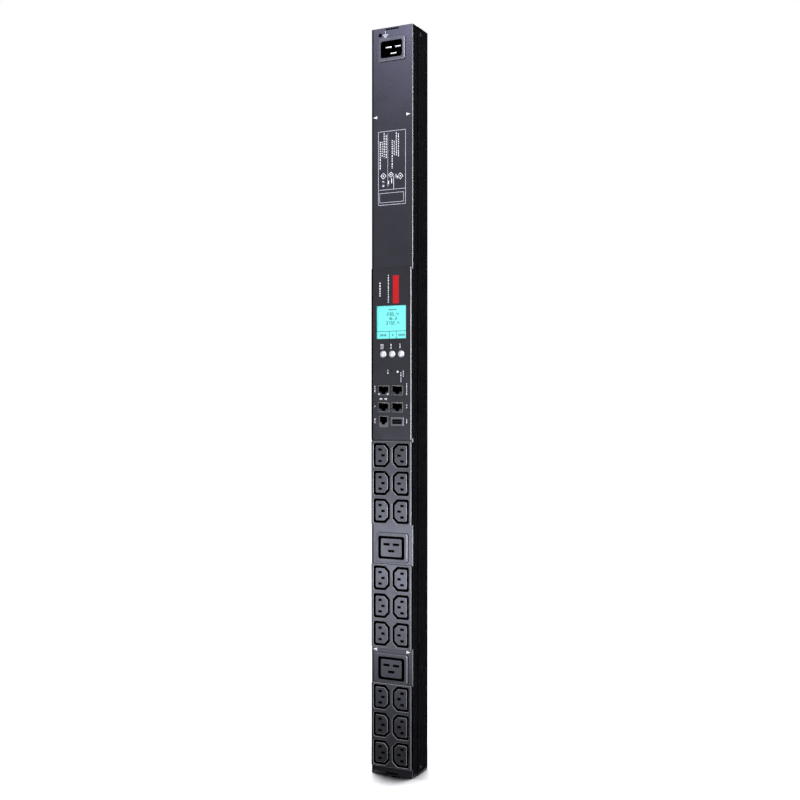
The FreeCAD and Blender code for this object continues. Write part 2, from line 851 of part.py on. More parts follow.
def make_display():
    window = new_body("display_window")
    size = d.display_size + d.display_rim * 2
    back = front_view(window, BEZEL_BACK)
    centred_box(back, 0, DISPLAY_Z, size, size)
    pad(window, back, d.window_thickness, backward=True)
    lens = front_view(window, BEZEL_BACK)
    clear = d.display_size - d.window_gap * 2
    centred_box(lens, 0, DISPLAY_Z, clear, clear)
    pad(window, lens, d.bezel_plate - d.window_gap * 2)
    half = size / 2
    slab("display_panel", -half, half, PANEL_FRONT, PANEL_BACK, DISPLAY_Z - half, DISPLAY_Z + half)
    holder = new_body("display_holder")
    frame = front_view(holder, PANEL_BACK)
    centred_box(frame, 0, DISPLAY_Z, size, size)
    centred_box(frame, 0, DISPLAY_Z, size - d.holder_wall * 2, size - d.holder_wall * 2)
    pad(holder, frame, d.board_front - PANEL_BACK, backward=True)


SWITCH_TOP = d.board_front - d.switch_height
PLUNGER_END = SWITCH_TOP + d.plunger_depth


def make_buttons():
    """Bevelled push buttons, each with a square flange behind the panel and a plunger to its switch."""
    flange = BEZEL_BACK + d.button_clearance / 2
    stem = flange + d.button_flange_thickness
    front = MODULE_FRONT - d.button_proud
    for label, x in button_places():
        body = new_body(label)
        cap = front_view(body, front)
        ring(cap, 0, 0, d.button_diameter)
        pad(body, cap, flange - front, backward=True)
        bevel_front(body, front, d.button_bevel)
        collar = front_view(body, flange)
        centred_box(collar, 0, 0, d.button_flange_size, d.button_flange_size)
        pad(body, collar, d.button_flange_thickness, backward=True)
        plunger = front_view(body, stem)
        centred_box(plunger, 0, 0, d.plunger_size, d.plunger_size)
        pad(body, plunger, PLUNGER_END - stem, backward=True)
        bind(body, "Placement.Base.x", x)
        lift(body, BUTTON_Z)


def make_reset_plunger():
    body = new_body("reset_plunger")
    profile = front_view(body, PLUNGER_END - d.reset_length)
    centred_box(profile, d.reset_x, RESET_Z, d.plunger_size, d.plunger_size)
    pad(body, profile, d.reset_length, backward=True)


def make_switches():
    """Four key switches on the control board, one behind each button and one for the reset."""
    body = new_body("key_switches")
    places = [(x, BUTTON_Z) for label, x in button_places()]
    places.append((d.reset_x, RESET_Z))
    cases = front_view(body, d.board_front)
    for x, z in places:
        centred_box(cases, x, z, d.switch_size, d.switch_size)
    pad(body, cases, d.switch_height)
    bores = front_view(body, SWITCH_TOP)
    for x, z in places:
        centred_box(bores, x, z, d.switch_bore, d.switch_bore)
    pocket(body, bores, d.switch_bore_depth)


def make_light_pipe():
    body = new_body("status_light_pipe")
    sketch = front_view(body, d.board_front)
    eight_sided(sketch, d.light_x, LIGHT_Z, d.light_diameter)
    pad(body, sketch, d.board_front - MODULE_FRONT + d.light_gap)


def make_jacks():
    front = MODULE_FRONT + d.jack_recess
    for name, x, z, width, height, cavity in jack_places():
        body = new_body(name)
        case = front_view(body, front)
        centred_box(case, x, z, width, height)
        pad(body, case, d.board_front - front, backward=True)
        bevel_front(body, front, d.jack_bevel)
        mouth = front_view(body, front)
        top = z + height / 2 - d.jack_roof
        low = top - d.jack_cavity_height
        latch = low - d.jack_latch_height
        key = latch - d.jack_key_height
        outline(mouth, [
            (x - cavity / 2, top),
            (x - cavity / 2, low),
            (x - d.jack_latch_width / 2, low),
            (x - d.jack_latch_width / 2, latch),
            (x - d.jack_key_width / 2, latch),
            (x - d.jack_key_width / 2, key),
            (x + d.jack_key_width / 2, key),
            (x + d.jack_key_width / 2, latch),
            (x + d.jack_latch_width / 2, latch),
            (x + d.jack_latch_width / 2, low),
            (x + cavity / 2, low),
            (x + cavity / 2, top),
        ])
        pocket(body, mouth, d.jack_cavity_depth)


def make_usb_port():
    front = MODULE_FRONT - d.usb_proud
    shell = new_body("usb_port")
    sketch = front_view(shell, front)
    centred_box(sketch, d.jack_right_x, JACK_LOWER_Z, d.usb_width, d.usb_height)
    pad(shell, sketch, d.board_front - front, backward=True)
    bevel_front(shell, front, d.jack_bevel)
    mouth = front_view(shell, front)
    centred_box(mouth, d.jack_right_x, JACK_LOWER_Z, d.usb_opening_width, d.usb_opening_height)
    pocket(shell, mouth, d.board_front - front)
    half = d.usb_tongue_width / 2
    low = JACK_LOWER_Z - d.usb_tongue_thickness / 2
    slab("usb_tongue", d.jack_right_x - half, d.jack_right_x + half,
         front + d.usb_tongue_setback, d.board_front, low, low + d.usb_tongue_thickness)


# Circuit boards


METER_BACK = d.meter_board_y + d.board_thickness


def standoff_places():
    """Centres of the four standoffs under the metering board."""
    places = []
    for side in (-0.5, 0.5):
        for end in (-0.5, 0.5):
            places.append((d.boss_spacing_x * side, METER_BOARD_Z + d.standoff_spacing_z * end))
    return places


def make_board(label, y, z, height, places, hole):
    body = new_body(label)
    sketch = front_view(body, y)
    centred_box(sketch, 0, z, d.board_width, height)
    for x, hole_z in places:
        centred_box(sketch, x, hole_z, hole, hole)
    pad(body, sketch, d.board_thickness, backward=True)


def make_boards():
    """Two boards held on square stakes: the panel's own, and nylon standoffs from the back sheet."""
    hole = d.stake_size + d.stake_gap * 2
    height = d.bezel_height - d.board_margin * 2
    make_board("control_board", d.board_front, BEZEL_MIDDLE, height, boss_places(), hole)
    posts = standoff_places()
    make_board("metering_board", d.meter_board_y, METER_BOARD_Z, d.meter_board_height, posts, hole)
    standoffs = new_body("metering_standoffs")
    columns = front_view(standoffs, METER_BACK)
    stakes = front_view(standoffs, METER_BACK)
    for x, z in posts:
        centred_box(columns, x, z, d.standoff_size, d.standoff_size)
        centred_box(stakes, x, z, d.stake_size, d.stake_size)
    pad(standoffs, columns, INNER_REAR - METER_BACK, backward=True)
    pad(standoffs, stakes, d.board_thickness + d.stake_proud)


def make_meter_parts():
    sensor = new_body("current_sensor")
    plan = plan_view(sensor, METER_BOARD_Z)
    half = d.sensor_width / 2
    box_outline(plan, -d.wire_spacing - half, half - d.wire_spacing, METER_BACK, INNER_REAR - d.sheet_wall)
    centred_box(plan, -d.wire_spacing, d.wire_y, d.sensor_window, d.sensor_window)
    pad(sensor, plan, d.sensor_height)
    half = d.converter_width / 2
    low = METER_BOARD_Z - d.converter_height / 2
    slab("power_converter", -half, half, d.meter_board_y - d.converter_depth, d.meter_board_y,
         low, low + d.converter_height)


# Small outlets

BLOCKS = (("upper", BLOCK_UPPER_Z), ("middle", BLOCK_MIDDLE_Z), ("lower", BLOCK_LOWER_Z))
COLUMN = d.column_spacing / 2
BLOCK_FLOOR = MODULE_FRONT + d.groove_depth + d.block_floor
BLOCK_BACK = BLOCK_FLOOR + d.block_skirt
BLOCK_HALF = d.block_height / 2 - d.block_overlap - d.module_clearance
LEAF_TIP = MODULE_FRONT + d.slot_wall + d.contact_room


def outlet_outline(sketch, side, z, width, height, chamfer, corner):
    """The outlet's shape: two large chamfers towards the middle of the unit, small ones outside."""
    inner = COLUMN - width / 2
    outer = COLUMN + width / 2
    low = z - height / 2
    high = z + height / 2
    places = [
        (inner + chamfer, low),
        (outer - corner, low),
        (outer, low + corner),
        (outer, high - corner),
        (outer - corner, high),
        (inner + chamfer, high),
        (inner, high - chamfer),
        (inner, low + chamfer),
    ]
    if side < 0:
        places = [(-x, y) for x, y in reversed(places)]
    outline(sketch, places)


def contact_places(side, z):
    """Pole, x and z of the three contacts of one small outlet."""
    live = COLUMN + d.slot_offset
    earth = COLUMN - d.slot_offset
    return (
        ("line", live * side, z + d.slot_spacing / 2),
        ("neutral", live * side, z - d.slot_spacing / 2),
        ("earth", earth * side, z),
    )


def make_outlet_block(name, z):
    body = new_body(f"outlet_block_{name}")
    plate = front_view(body, MODULE_FRONT)
    centred_box(plate, 0, 0, TONGUE_HALF * 2, d.block_height)
    pad(body, plate, d.module_proud, backward=True)
    shell = front_view(body, MODULE_FRONT)
    centred_box(shell, 0, 0, MODULE_HALF * 2, BLOCK_HALF * 2)
    pad(body, shell, BLOCK_BACK - MODULE_FRONT, backward=True)
    bevel_front(body, MODULE_FRONT, d.module_bevel)
    inside = front_view(body, BLOCK_FLOOR)
    centred_box(inside, 0, 0, (MODULE_HALF - d.block_wall) * 2, (BLOCK_HALF - d.block_wall) * 2)
    pocket(body, inside, d.block_skirt)
    cut_outlets(body)
    lift(body, z)


def cut_outlets(body):
    """Cut three rows of two outlets: a groove round each core, then its slots and contact chamber."""
    bottom_row = -d.row_pitch
    grooves = front_view(body, MODULE_FRONT)
    slots = front_view(body, MODULE_FRONT)
    rooms = front_view(body, BLOCK_FLOOR)
    half_room = d.leaf_gap / 2 + d.leaf_thickness + d.contact_room
    for side in (-1, 1):
        outlet_outline(grooves, side, bottom_row, d.groove_width, d.groove_height,
                       d.groove_chamfer, d.groove_corner)
        outlet_outline(grooves, side, bottom_row, d.core_width, d.core_height,
                       d.core_chamfer, d.core_corner)
        for pole, x, contact_z in contact_places(side, bottom_row):
            centred_box(slots, x, contact_z, d.slot_width, d.slot_height)
        centred_box(rooms, COLUMN * side, bottom_row,
                    d.slot_offset * 2 + d.slot_width + d.contact_room * 2,
                    d.slot_spacing + half_room * 2)
    ring_cut = pocket(body, grooves, d.groove_depth)
    repeat_up(body, [ring_cut], grooves, 3, d.row_pitch * 2)
    bevel_front(body, MODULE_FRONT, d.groove_bevel, inside_edge)
    cuts = [
        pocket(body, slots, d.slot_wall),
        pocket(body, rooms, BLOCK_FLOOR - MODULE_FRONT - d.slot_wall, forward=True),
    ]
    repeat_up(body, cuts, slots, 3, d.row_pitch * 2)
    seam = front_view(body, MODULE_FRONT)
    centred_box(seam, 0, d.row_pitch / 2, MODULE_HALF * 2, d.row_seam)
    pocket(body, seam, d.row_seam)


def inside_edge(box):
    """True for an edge of an outlet, away from the rim of its block."""
    reach = COLUMN.value + d.groove_width.value / 2 + 0.01
    return max(abs(box.XMin), abs(box.XMax)) < reach


def spring_leaf(sketch, x, z, width):
    """The sprung leaf of one contact, above the pin that it presses on."""
    near = d.leaf_gap / 2
    box_outline(sketch, x - width / 2, x + width / 2, z + near, z + near + d.leaf_thickness)


def leaf_tab(sketch, side, x, z, width, reach):
    """The tab under a contact, reaching to the rail that carries it."""
    far = d.leaf_gap / 2 + d.leaf_thickness
    near_edge = x - width * 0.5 * side
    far_edge = x + width * 0.5 * side
    ends = sorted((near_edge, far_edge, reach), key=lambda size: size.value)
    box_outline(sketch, ends[0], ends[-1], z - far, z + far)


RAIL_FACE = BLOCK_BACK - d.strip_thickness
EARTH_FACE = BLOCK_FLOOR


def make_strip(pole, name, z, level, rails, reach, tail):
    """A stamped contact strip: rails, one sprung leaf for each outlet, and a tail to its wire."""
    body = new_body(f"{pole}_strip_{name}")
    base = front_view(body, level)
    rails(base)
    pad(body, base, d.strip_thickness, backward=True)
    leaves = front_view(body, level)
    tabs = front_view(body, level)
    width = d.slot_width - d.contact_room
    for side in (-1, 1):
        for kind, x, contact_z in contact_places(side, -d.row_pitch):
            if kind == pole:
                spring_leaf(leaves, x, contact_z, width)
                leaf_tab(tabs, side, x, contact_z, width, reach * side)
    features = [
        pad(body, tabs, d.strip_thickness, backward=True),
        pad(body, leaves, level - LEAF_TIP),
    ]
    repeat_up(body, features, leaves, 3, d.row_pitch * 2)
    tail_x, tail_z = tail
    end = front_view(body, level)
    centred_box(end, tail_x, tail_z, d.tail_width, d.strip_thickness)
    pad(body, end, WIRE_FRONT - level, backward=True)
    lift(body, z)


def bridge_height():
    """Distance of the cross rails from the middle of a block."""
    return d.row_pitch + d.slot_spacing / 2 + d.leaf_gap / 2


def line_rails(sketch):
    """Two outer rails joined across the top."""
    outer = COLUMN + d.slot_offset + d.slot_width / 2 + d.rail_gap + d.strip_width
    inner = outer - d.strip_width
    top = bridge_height() + d.strip_width / 2
    low = -bridge_height() + d.slot_spacing
    outline(sketch, [
        (-outer, low), (-inner, low), (-inner, top - d.strip_width), (inner, top - d.strip_width),
        (inner, low), (outer, low), (outer, top), (-outer, top),
    ])


def neutral_rails(sketch):
    """Two inner rails joined across the bottom."""
    outer = d.wire_spacing + d.strip_width / 2
    inner = outer - d.strip_width
    low = -bridge_height() - d.strip_width / 2
    top = bridge_height() - d.slot_spacing
    outline(sketch, [
        (-outer, low), (outer, low), (outer, top), (inner, top),
        (inner, low + d.strip_width), (-inner, low + d.strip_width), (-inner, top), (-outer, top),
    ])


def earth_rails(sketch):
    """One wide rail up the middle."""
    centred_box(sketch, 0, 0, d.strip_width * 2, (d.row_pitch + d.strip_width) * 2)


def strip_tails():
    """Where each strip's tail runs back to its wire, from the middle of a block."""
    bridge = bridge_height()
    return {
        "line": (-d.wire_spacing, bridge),
        "neutral": (d.wire_spacing, -bridge),
        "earth": (d.wire_spacing * 0, d.wire_spacing * 0),
    }


def make_block_insides(name, z):
    tails = strip_tails()
    outer_rail = COLUMN + d.slot_offset + d.slot_width / 2 + d.rail_gap + d.strip_width / 2
    make_strip("line", name, z, RAIL_FACE, line_rails, outer_rail, tails["line"])
    make_strip("neutral", name, z, RAIL_FACE, neutral_rails, d.wire_spacing, tails["neutral"])
    make_strip("earth", name, z, EARTH_FACE, earth_rails, d.strip_width / 2, tails["earth"])
    cover = new_body(f"outlet_cover_{name}")
    sketch = front_view(cover, BLOCK_BACK)
    centred_box(sketch, 0, 0, MODULE_HALF * 2, BLOCK_HALF * 2)
    for x, tail_z in tails.values():
        room = d.tail_room * 2
        centred_box(sketch, x, tail_z, d.tail_width + room, d.strip_thickness + room)
    pad(cover, sketch, d.cover_thickness, backward=True)
    lift(cover, z)


# Large outlets

LARGE = (("upper", LARGE_UPPER_Z), ("lower", LARGE_LOWER_Z))
LARGE_FRONT = FRONT - d.large_proud
LARGE_BACK = LARGE_FRONT + d.large_groove_depth + d.large_floor


def make_large_outlet(name, z):
    body = new_body(f"large_outlet_{name}")
    flange = front_view(body, FRONT)
    centred_box(flange, 0, 0, d.large_flange_width, d.large_flange_height, d.large_flange_radius)
    pad(body, flange, d.large_proud)
    bevel_front(body, LARGE_FRONT, d.large_bevel)
    shell = front_view(body, FRONT)
    wall = d.large_wall * 2
    centred_box(shell, 0, 0, d.large_groove_width + wall, d.large_groove_height + wall)
    pad(body, shell, LARGE_BACK - FRONT, backward=True)
    groove = front_view(body, LARGE_FRONT)
    centred_box(groove, 0, 0, d.large_groove_width, d.large_groove_height, d.large_groove_radius)
    cut_corner_box(groove, 0, 0, d.large_core_width, d.large_core_height, d.large_core_corner)
    pocket(body, groove, d.large_groove_depth)
    slots = front_view(body, LARGE_FRONT)
    rooms = front_view(body, LARGE_BACK)
    room = (d.leaf_gap / 2 + d.leaf_thickness + d.contact_room) * 2
    for pole, x, rise in pin_places():
        centred_box(slots, x, rise, d.large_slot_width, d.slot_height)
        centred_box(rooms, x, rise, d.large_slot_width + d.contact_room * 2, room)
    pocket(body, slots, d.slot_wall)
    pocket(body, rooms, LARGE_BACK - LARGE_FRONT - d.slot_wall, forward=True)
    lift(body, z)


def make_large_contacts(name, z):
    """Three sprung contacts seated on the back of a large outlet, each with a tail to its wire."""
    body = new_body(f"large_contacts_{name}")
    tip = LARGE_FRONT + d.slot_wall + d.contact_room
    width = d.large_slot_width - d.contact_room
    bases = front_view(body, LARGE_BACK)
    leaves = front_view(body, LARGE_BACK)
    tails = front_view(body, LARGE_BACK)
    far = (d.leaf_gap / 2 + d.leaf_thickness) * 2
    wires = {"line": -d.wire_spacing, "neutral": d.wire_spacing, "earth": d.wire_spacing * 0}
    for pole, x, rise in pin_places():
        seat = d.large_slot_width + d.contact_room * 4
        centred_box(bases, x, rise, seat, far)
        spring_leaf(leaves, x, rise, width)
        centred_box(tails, wires[pole], rise, d.tail_width, d.strip_thickness)
    pad(body, bases, d.strip_thickness, backward=True)
    pad(body, leaves, LARGE_BACK - tip)
    pad(body, tails, WIRE_FRONT - LARGE_BACK, backward=True)
    lift(body, z)


def make_wires():
    """Three insulated wires straight down the back, from the inlet to the lowest block."""
    for name, x, rise in pin_places():
        body = new_body(f"{name}_wire")
        section = plan_view(body, d.wire_bottom)
        eight_sided(section, d.wire_spacing * sign(x.value), d.wire_y, d.wire_diameter)
        pad(body, section, INLET_Z + rise + d.pin_thickness - d.wire_bottom)


def check_model():
    """Stop if any feature failed or any piece is empty or invalid."""
    for item in doc.Objects:
        if "Invalid" in item.State or "Error" in item.State:
            raise RuntimeError(f"{item.Label} of {item.getParentGeoFeatureGroup()} failed: {item.State}")
    for piece in parts:
        if piece.Shape.isNull() or not piece.Shape.isValid() or not piece.Shape.Solids:
            raise RuntimeError(f"{piece.Label} has no valid solid")


def export_parts():
    os.makedirs("parts", exist_ok=True)
    for piece in parts:
        piece.Shape.exportStep(f"parts/{piece.Label}.step")


make_front_channel()
make_rear_channel()
make_end_caps()
make_cover_screws()
make_pegs()
make_earth_nut()
make_inlet_body()
make_inlet_pins()
make_control_bezel()
make_display()
make_buttons()
make_reset_plunger()
make_switches()
make_light_pipe()
make_jacks()
make_usb_port()
make_boards()
make_meter_parts()
for block_name, block_z in BLOCKS:
    make_outlet_block(block_name, block_z)
    make_block_insides(block_name, block_z)
for outlet_name, outlet_z in LARGE:
    make_large_outlet(outlet_name, outlet_z)
    make_large_contacts(outlet_name, outlet_z)
make_wires()
doc.recompute()
check_model()
export_parts()
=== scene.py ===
import math
import random

import bmesh
import bpy
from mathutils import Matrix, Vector


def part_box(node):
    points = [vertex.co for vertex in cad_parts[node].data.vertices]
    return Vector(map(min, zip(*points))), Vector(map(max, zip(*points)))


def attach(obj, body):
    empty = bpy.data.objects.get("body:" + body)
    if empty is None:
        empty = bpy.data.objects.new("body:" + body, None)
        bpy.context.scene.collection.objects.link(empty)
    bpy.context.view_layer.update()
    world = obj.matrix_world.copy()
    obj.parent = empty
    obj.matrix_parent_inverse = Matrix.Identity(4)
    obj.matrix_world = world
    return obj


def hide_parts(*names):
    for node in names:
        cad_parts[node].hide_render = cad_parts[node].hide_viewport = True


# Lengths are in millimetres, except in the studio, and are turned into metres where they are used.
MM = 0.001
INK = 0.04
UNIT = "unit"

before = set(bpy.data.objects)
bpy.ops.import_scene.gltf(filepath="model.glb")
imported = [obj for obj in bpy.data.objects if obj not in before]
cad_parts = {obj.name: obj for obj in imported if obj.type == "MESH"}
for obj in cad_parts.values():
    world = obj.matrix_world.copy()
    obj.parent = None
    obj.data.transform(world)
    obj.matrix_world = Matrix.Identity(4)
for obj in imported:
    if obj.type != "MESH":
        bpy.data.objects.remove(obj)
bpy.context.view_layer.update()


def add_object(name, data):
    """A new object in the scene, from a mesh, a lamp or a camera."""
    piece = bpy.data.objects.new(name, data)
    bpy.context.scene.collection.objects.link(piece)
    return piece


# Finishes: values


COOL_GLOSS = (0.78, 0.77, 0.97)
BARE_STEEL = (0.14, 0.14, 0.15)
# Black for painted shade, with no reflection: mouths, pin shanks, walls, forward faces and a left
# strip.
PAINTED_SHADE_BLACK = (0.002, 0.002, 0.002)
# Pale tones painted on bevels as highlights; on the panel only its right-facing bevels get one.
EDGE_HIGHLIGHT = (0.16, 0.16, 0.165)
PANEL_EDGE_HIGHLIGHT = (0.35, 0.35, 0.35)
JACK_EDGE_HIGHLIGHT = (0.4, 0.4, 0.4)

# How much paler or darker a tone becomes where its texture is strong.
COAT_PALER = 1.35
PLASTIC_PALER = 1.2
METAL_DARKER = 0.82
INK_DARKER = 0.85
WIRE_DARKER = 0.85

# Texture scales, per metre, and the part of a texture's range that is used.
NOISE = "ShaderNodeTexNoise"
PEEL_SCALE = 1400.0
COAT_DRIFT_SCALE = 30.0
GRAIN_SCALE = 2200.0
PLASTIC_DRIFT_SCALE = 45.0
METAL_LINE_SCALE = 600.0
INK_SCALE = 900.0
CELL_SCALE = 1400.0
TRACK_SCALE = 160.0
WIRE_BAND_SCALE = 20.0
WIRE_DRIFT_SCALE = 200.0
FACTOR_LOW = 0.3
FACTOR_HIGH = 0.7

# How far a texture takes the roughness down and up, and the roughness and gloss of ink.
PLASTIC_SMOOTHER = 0.04
PLASTIC_ROUGHER = 0.05
METAL_SMOOTHER = 0.06
METAL_ROUGHER = 0.1
INK_ROUGHNESS = 0.6
INK_GLOSS = 0.15

# Relief.
PEEL_DEPTH = 0.02
PEEL_STRENGTH = 0.14
GRAIN_DEPTH = 0.015
FINE_DEPTH = 0.004
GRAIN_STRENGTH = 0.3
TRACK_DEPTH = 0.03
TRACK_STRENGTH = 0.4

# A face's forward part tells walls, bevels and flat faces apart.
WALL_LIMIT = 0.4
FACE_LIMIT = 0.9

# Strips and mouths painted black as shade, and bends that turn to another tone.
LEFT_SHADE_WIDTH = 2.2
OUTLET_SHADE_WIDTH = 0.8
LEFT_SHADE_FADE = 0.4
MOUTH_SHADE_START = 0.5
MOUTH_SHADE_END = 2.0
BEND_RADIUS = 1.0
BEND_GAIN = 2.0

# Sockets of a colour mix, which has several of each name.
MIX_FACTOR = 0
MIX_FIRST = 6
MIX_SECOND = 7
MIX_RESULT = 2


# Finishes: steps


def new_finish(name, colour, roughness, metallic=0.0, gloss=0.5):
    """A plain finish to which grain, mottling and wear are added."""
    finish = bpy.data.materials.new(name)
    finish.use_nodes = True
    shader = finish.node_tree.nodes["Principled BSDF"]
    shader.inputs["Base Color"].default_value = (*colour, 1.0)
    shader.inputs["Roughness"].default_value = roughness
    shader.inputs["Metallic"].default_value = metallic
    shader.inputs["Specular IOR Level"].default_value = gloss
    return finish, shader


def toned(colour, share):
    """A colour made paler or darker by a share."""
    return tuple(min(1.0, part * share) for part in colour)


def pattern(finish, kind, scale, stretch=(1.0, 1.0, 1.0)):
    """A texture node of one kind, laid out in the unit's own metres."""
    nodes = finish.node_tree.nodes
    links = finish.node_tree.links
    place = nodes.new("ShaderNodeTexCoord")
    mapping = nodes.new("ShaderNodeMapping")
    mapping.inputs["Scale"].default_value = stretch
    texture = nodes.new(kind)
    texture.inputs["Scale"].default_value = scale
    links.new(place.outputs["Object"], mapping.inputs["Vector"])
    links.new(mapping.outputs["Vector"], texture.inputs["Vector"])
    return texture


def bricks(finish, scale, first, second, gap):
    """A brick pattern in three colours."""
    texture = pattern(finish, "ShaderNodeTexBrick", scale)
    for name, colour in (("Color1", first), ("Color2", second), ("Mortar", gap)):
        texture.inputs[name].default_value = (*colour, 1.0)
    return texture


def run_between(finish, value, start, end, low=0.0, high=1.0):
    """A number that runs from low to high as a value runs from its start to its end."""
    span = finish.node_tree.nodes.new("ShaderNodeMapRange")
    limits = {"From Min": start, "From Max": end, "To Min": low, "To Max": high}
    for name, limit in limits.items():
        span.inputs[name].default_value = limit
    finish.node_tree.links.new(value, span.inputs["Value"])
    return span.outputs["Result"]


def blend_range(finish, factor, low, high):
    """A number that runs from low to high as a texture's factor does."""
    return run_between(finish, factor, FACTOR_LOW, FACTOR_HIGH, low, high)


def ramp(finish, value, start, end):
    """0 where a value is at its start and 1 where it is at its end, both in millimetres."""
    return run_between(finish, value, start * MM, end * MM)


def blend_colour(finish, factor, first, second):
    """A tone that runs from first, a colour or a tone, to a second colour as a factor runs to 1."""
    mix = finish.node_tree.nodes.new("ShaderNodeMix")
    mix.data_type = "RGBA"
    if isinstance(first, tuple):
        mix.inputs[MIX_FIRST].default_value = (*first, 1.0)
    else:
        finish.node_tree.links.new(first, mix.inputs[MIX_FIRST])
    mix.inputs[MIX_SECOND].default_value = (*second, 1.0)
    finish.node_tree.links.new(factor, mix.inputs[MIX_FACTOR])
    return mix.outputs[MIX_RESULT]


def work_out(owner, operation, first, second):
    """One sum, kept between 0 and 1, on two values of which either may be a plain number."""
    step = owner.node_tree.nodes.new("ShaderNodeMath")
    step.operation = operation
    step.use_clamp = True
    for socket, value in zip(step.inputs, (first, second)):
        if isinstance(value, float):
            socket.default_value = value
        else:
            owner.node_tree.links.new(value, socket)
    return step.outputs[0]


def add_grain(finish, shader, factor, depth, strength, smooth=None):
    """Raise a texture as relief, depth in millimetres, but not where a smooth mask is 1."""
    links = finish.node_tree.links
    bump = finish.node_tree.nodes.new("ShaderNodeBump")
    bump.inputs["Distance"].default_value = depth * MM
    bump.inputs["Strength"].default_value = strength
    if smooth:
        kept = work_out(finish, "SUBTRACT", 1.0, smooth)
        links.new(work_out(finish, "MULTIPLY", kept, strength), bump.inputs["Strength"])
    links.new(factor, bump.inputs["Height"])
    links.new(bump.outputs["Normal"], shader.inputs["Normal"])


def along_axis(finish, kind, output, axis):
    """One part of a vector that a node of some kind gives."""
    source = finish.node_tree.nodes.new(kind)
    split = finish.node_tree.nodes.new("ShaderNodeSeparateXYZ")
    finish.node_tree.links.new(source.outputs[output], split.inputs["Vector"])
    return split.outputs[axis]


def facing(finish, axis, way):
    """1 on faces that look straight along an axis, one way or the other, and less on the rest."""
    normal = along_axis(finish, "ShaderNodeNewGeometry", "True Normal", axis)
    return work_out(finish, "MULTIPLY", normal, way)


def facing_front(finish):
    """1 on faces that look straight forward, falling to 0 on faces that look sideways or back."""
    return facing(finish, "Y", -1.0)


def place_along(finish, axis):
    """Where a point is along one axis of the unit, in metres."""
    return along_axis(finish, "ShaderNodeTexCoord", "Object", axis)


def painted_bevel_highlight(finish, highlight_right_only):
    """1 on the bevels round a front face, or on its right one, where a highlight is painted, and 0
    on the face and the walls.
    """
    front = facing_front(finish)
    above_walls = work_out(finish, "GREATER_THAN", front, WALL_LIMIT)
    below_face = work_out(finish, "LESS_THAN", front, FACE_LIMIT)
    bevels = work_out(finish, "MULTIPLY", above_walls, below_face)
    if highlight_right_only:
        rightward = work_out(finish, "GREATER_THAN", facing(finish, "X", 1.0), WALL_LIMIT)
        bevels = work_out(finish, "MULTIPLY", bevels, rightward)
    return bevels


def painted_lip_shade(finish):
    """1 on faces that look straight forward, where black shade is painted, and 0 on the rest."""
    return work_out(finish, "GREATER_THAN", facing_front(finish), FACE_LIMIT)


def painted_wall_shade(finish):
    """1 on the walls behind a front face and its bevels, where black shade is painted, and 0 on
    those.
    """
    return work_out(finish, "LESS_THAN", facing_front(finish), WALL_LIMIT)


def painted_left_shade(finish, edge, width):
    """1 on a narrow strip of the front along its left edge, where black shade is painted as it
    turns from the light.
    """
    strip = ramp(finish, place_along(finish, "X"), edge + width + LEFT_SHADE_FADE, edge + width)
    ahead = work_out(finish, "GREATER_THAN", facing_front(finish), WALL_LIMIT)
    return work_out(finish, "MULTIPLY", strip, ahead)


def painted_mouth_shade(finish, front):
    """0 on a front face and 1 a little way into the mouths that open in it, where black shade is
    painted.
    """
    return ramp(finish, place_along(finish, "Y"), front + MOUTH_SHADE_START, front + MOUTH_SHADE_END)


def bend_mask(finish, half, front, reach):
    """1 along the two front bends of the case and 0 on the flat sheet beside them."""
    across = finish.node_tree.nodes.new("ShaderNodeMath")
    across.operation = "ABSOLUTE"
    finish.node_tree.links.new(place_along(finish, "X"), across.inputs[0])
    beside = ramp(finish, across.outputs[0], half - reach, half)
    before = ramp(finish, place_along(finish, "Y"), front + reach, front)
    return work_out(finish, "MULTIPLY", work_out(finish, "MULTIPLY", beside, before), BEND_GAIN)


# Finishes: kinds


def coated(name, colour, rough_low, rough_high, bends=None, shaded_lips=False, gloss=0.5):
    """Powder coat: orange peel, a gloss that drifts, rubbed bends, and painted black shade on a
    left strip and forward faces.
    """
    finish, shader = new_finish(name, colour, rough_low, gloss=gloss)
    shader.inputs["Specular Tint"].default_value = (*COOL_GLOSS, 1.0)
    links = finish.node_tree.links
    peel = pattern(finish, NOISE, PEEL_SCALE)
    drift = pattern(finish, NOISE, COAT_DRIFT_SCALE)
    rough = blend_range(finish, drift.outputs["Fac"], rough_low, rough_high)
    tone = blend_colour(finish, drift.outputs["Fac"], colour, toned(colour, COAT_PALER))
    rubbed = None
    if bends:
        rubbed = bend_mask(finish, *bends)
        # Painted shade: a black strip along the left edge.
        shaded = painted_left_shade(finish, -bends[0], LEFT_SHADE_WIDTH)
        links.new(work_out(finish, "MAXIMUM", rubbed, shaded), shader.inputs["Metallic"])
        tone = blend_colour(finish, rubbed, tone, BARE_STEEL)
        tone = blend_colour(finish, shaded, tone, PAINTED_SHADE_BLACK)
    if shaded_lips:
        # Painted shade: black on the faces that look straight forward.
        edge = painted_lip_shade(finish)
        links.new(edge, shader.inputs["Metallic"])
        tone = blend_colour(finish, edge, tone, PAINTED_SHADE_BLACK)
    links.new(rough, shader.inputs["Roughness"])
    links.new(tone, shader.inputs["Base Color"])
    add_grain(finish, shader, peel.outputs["Fac"], PEEL_DEPTH, PEEL_STRENGTH, rubbed)
    return finish


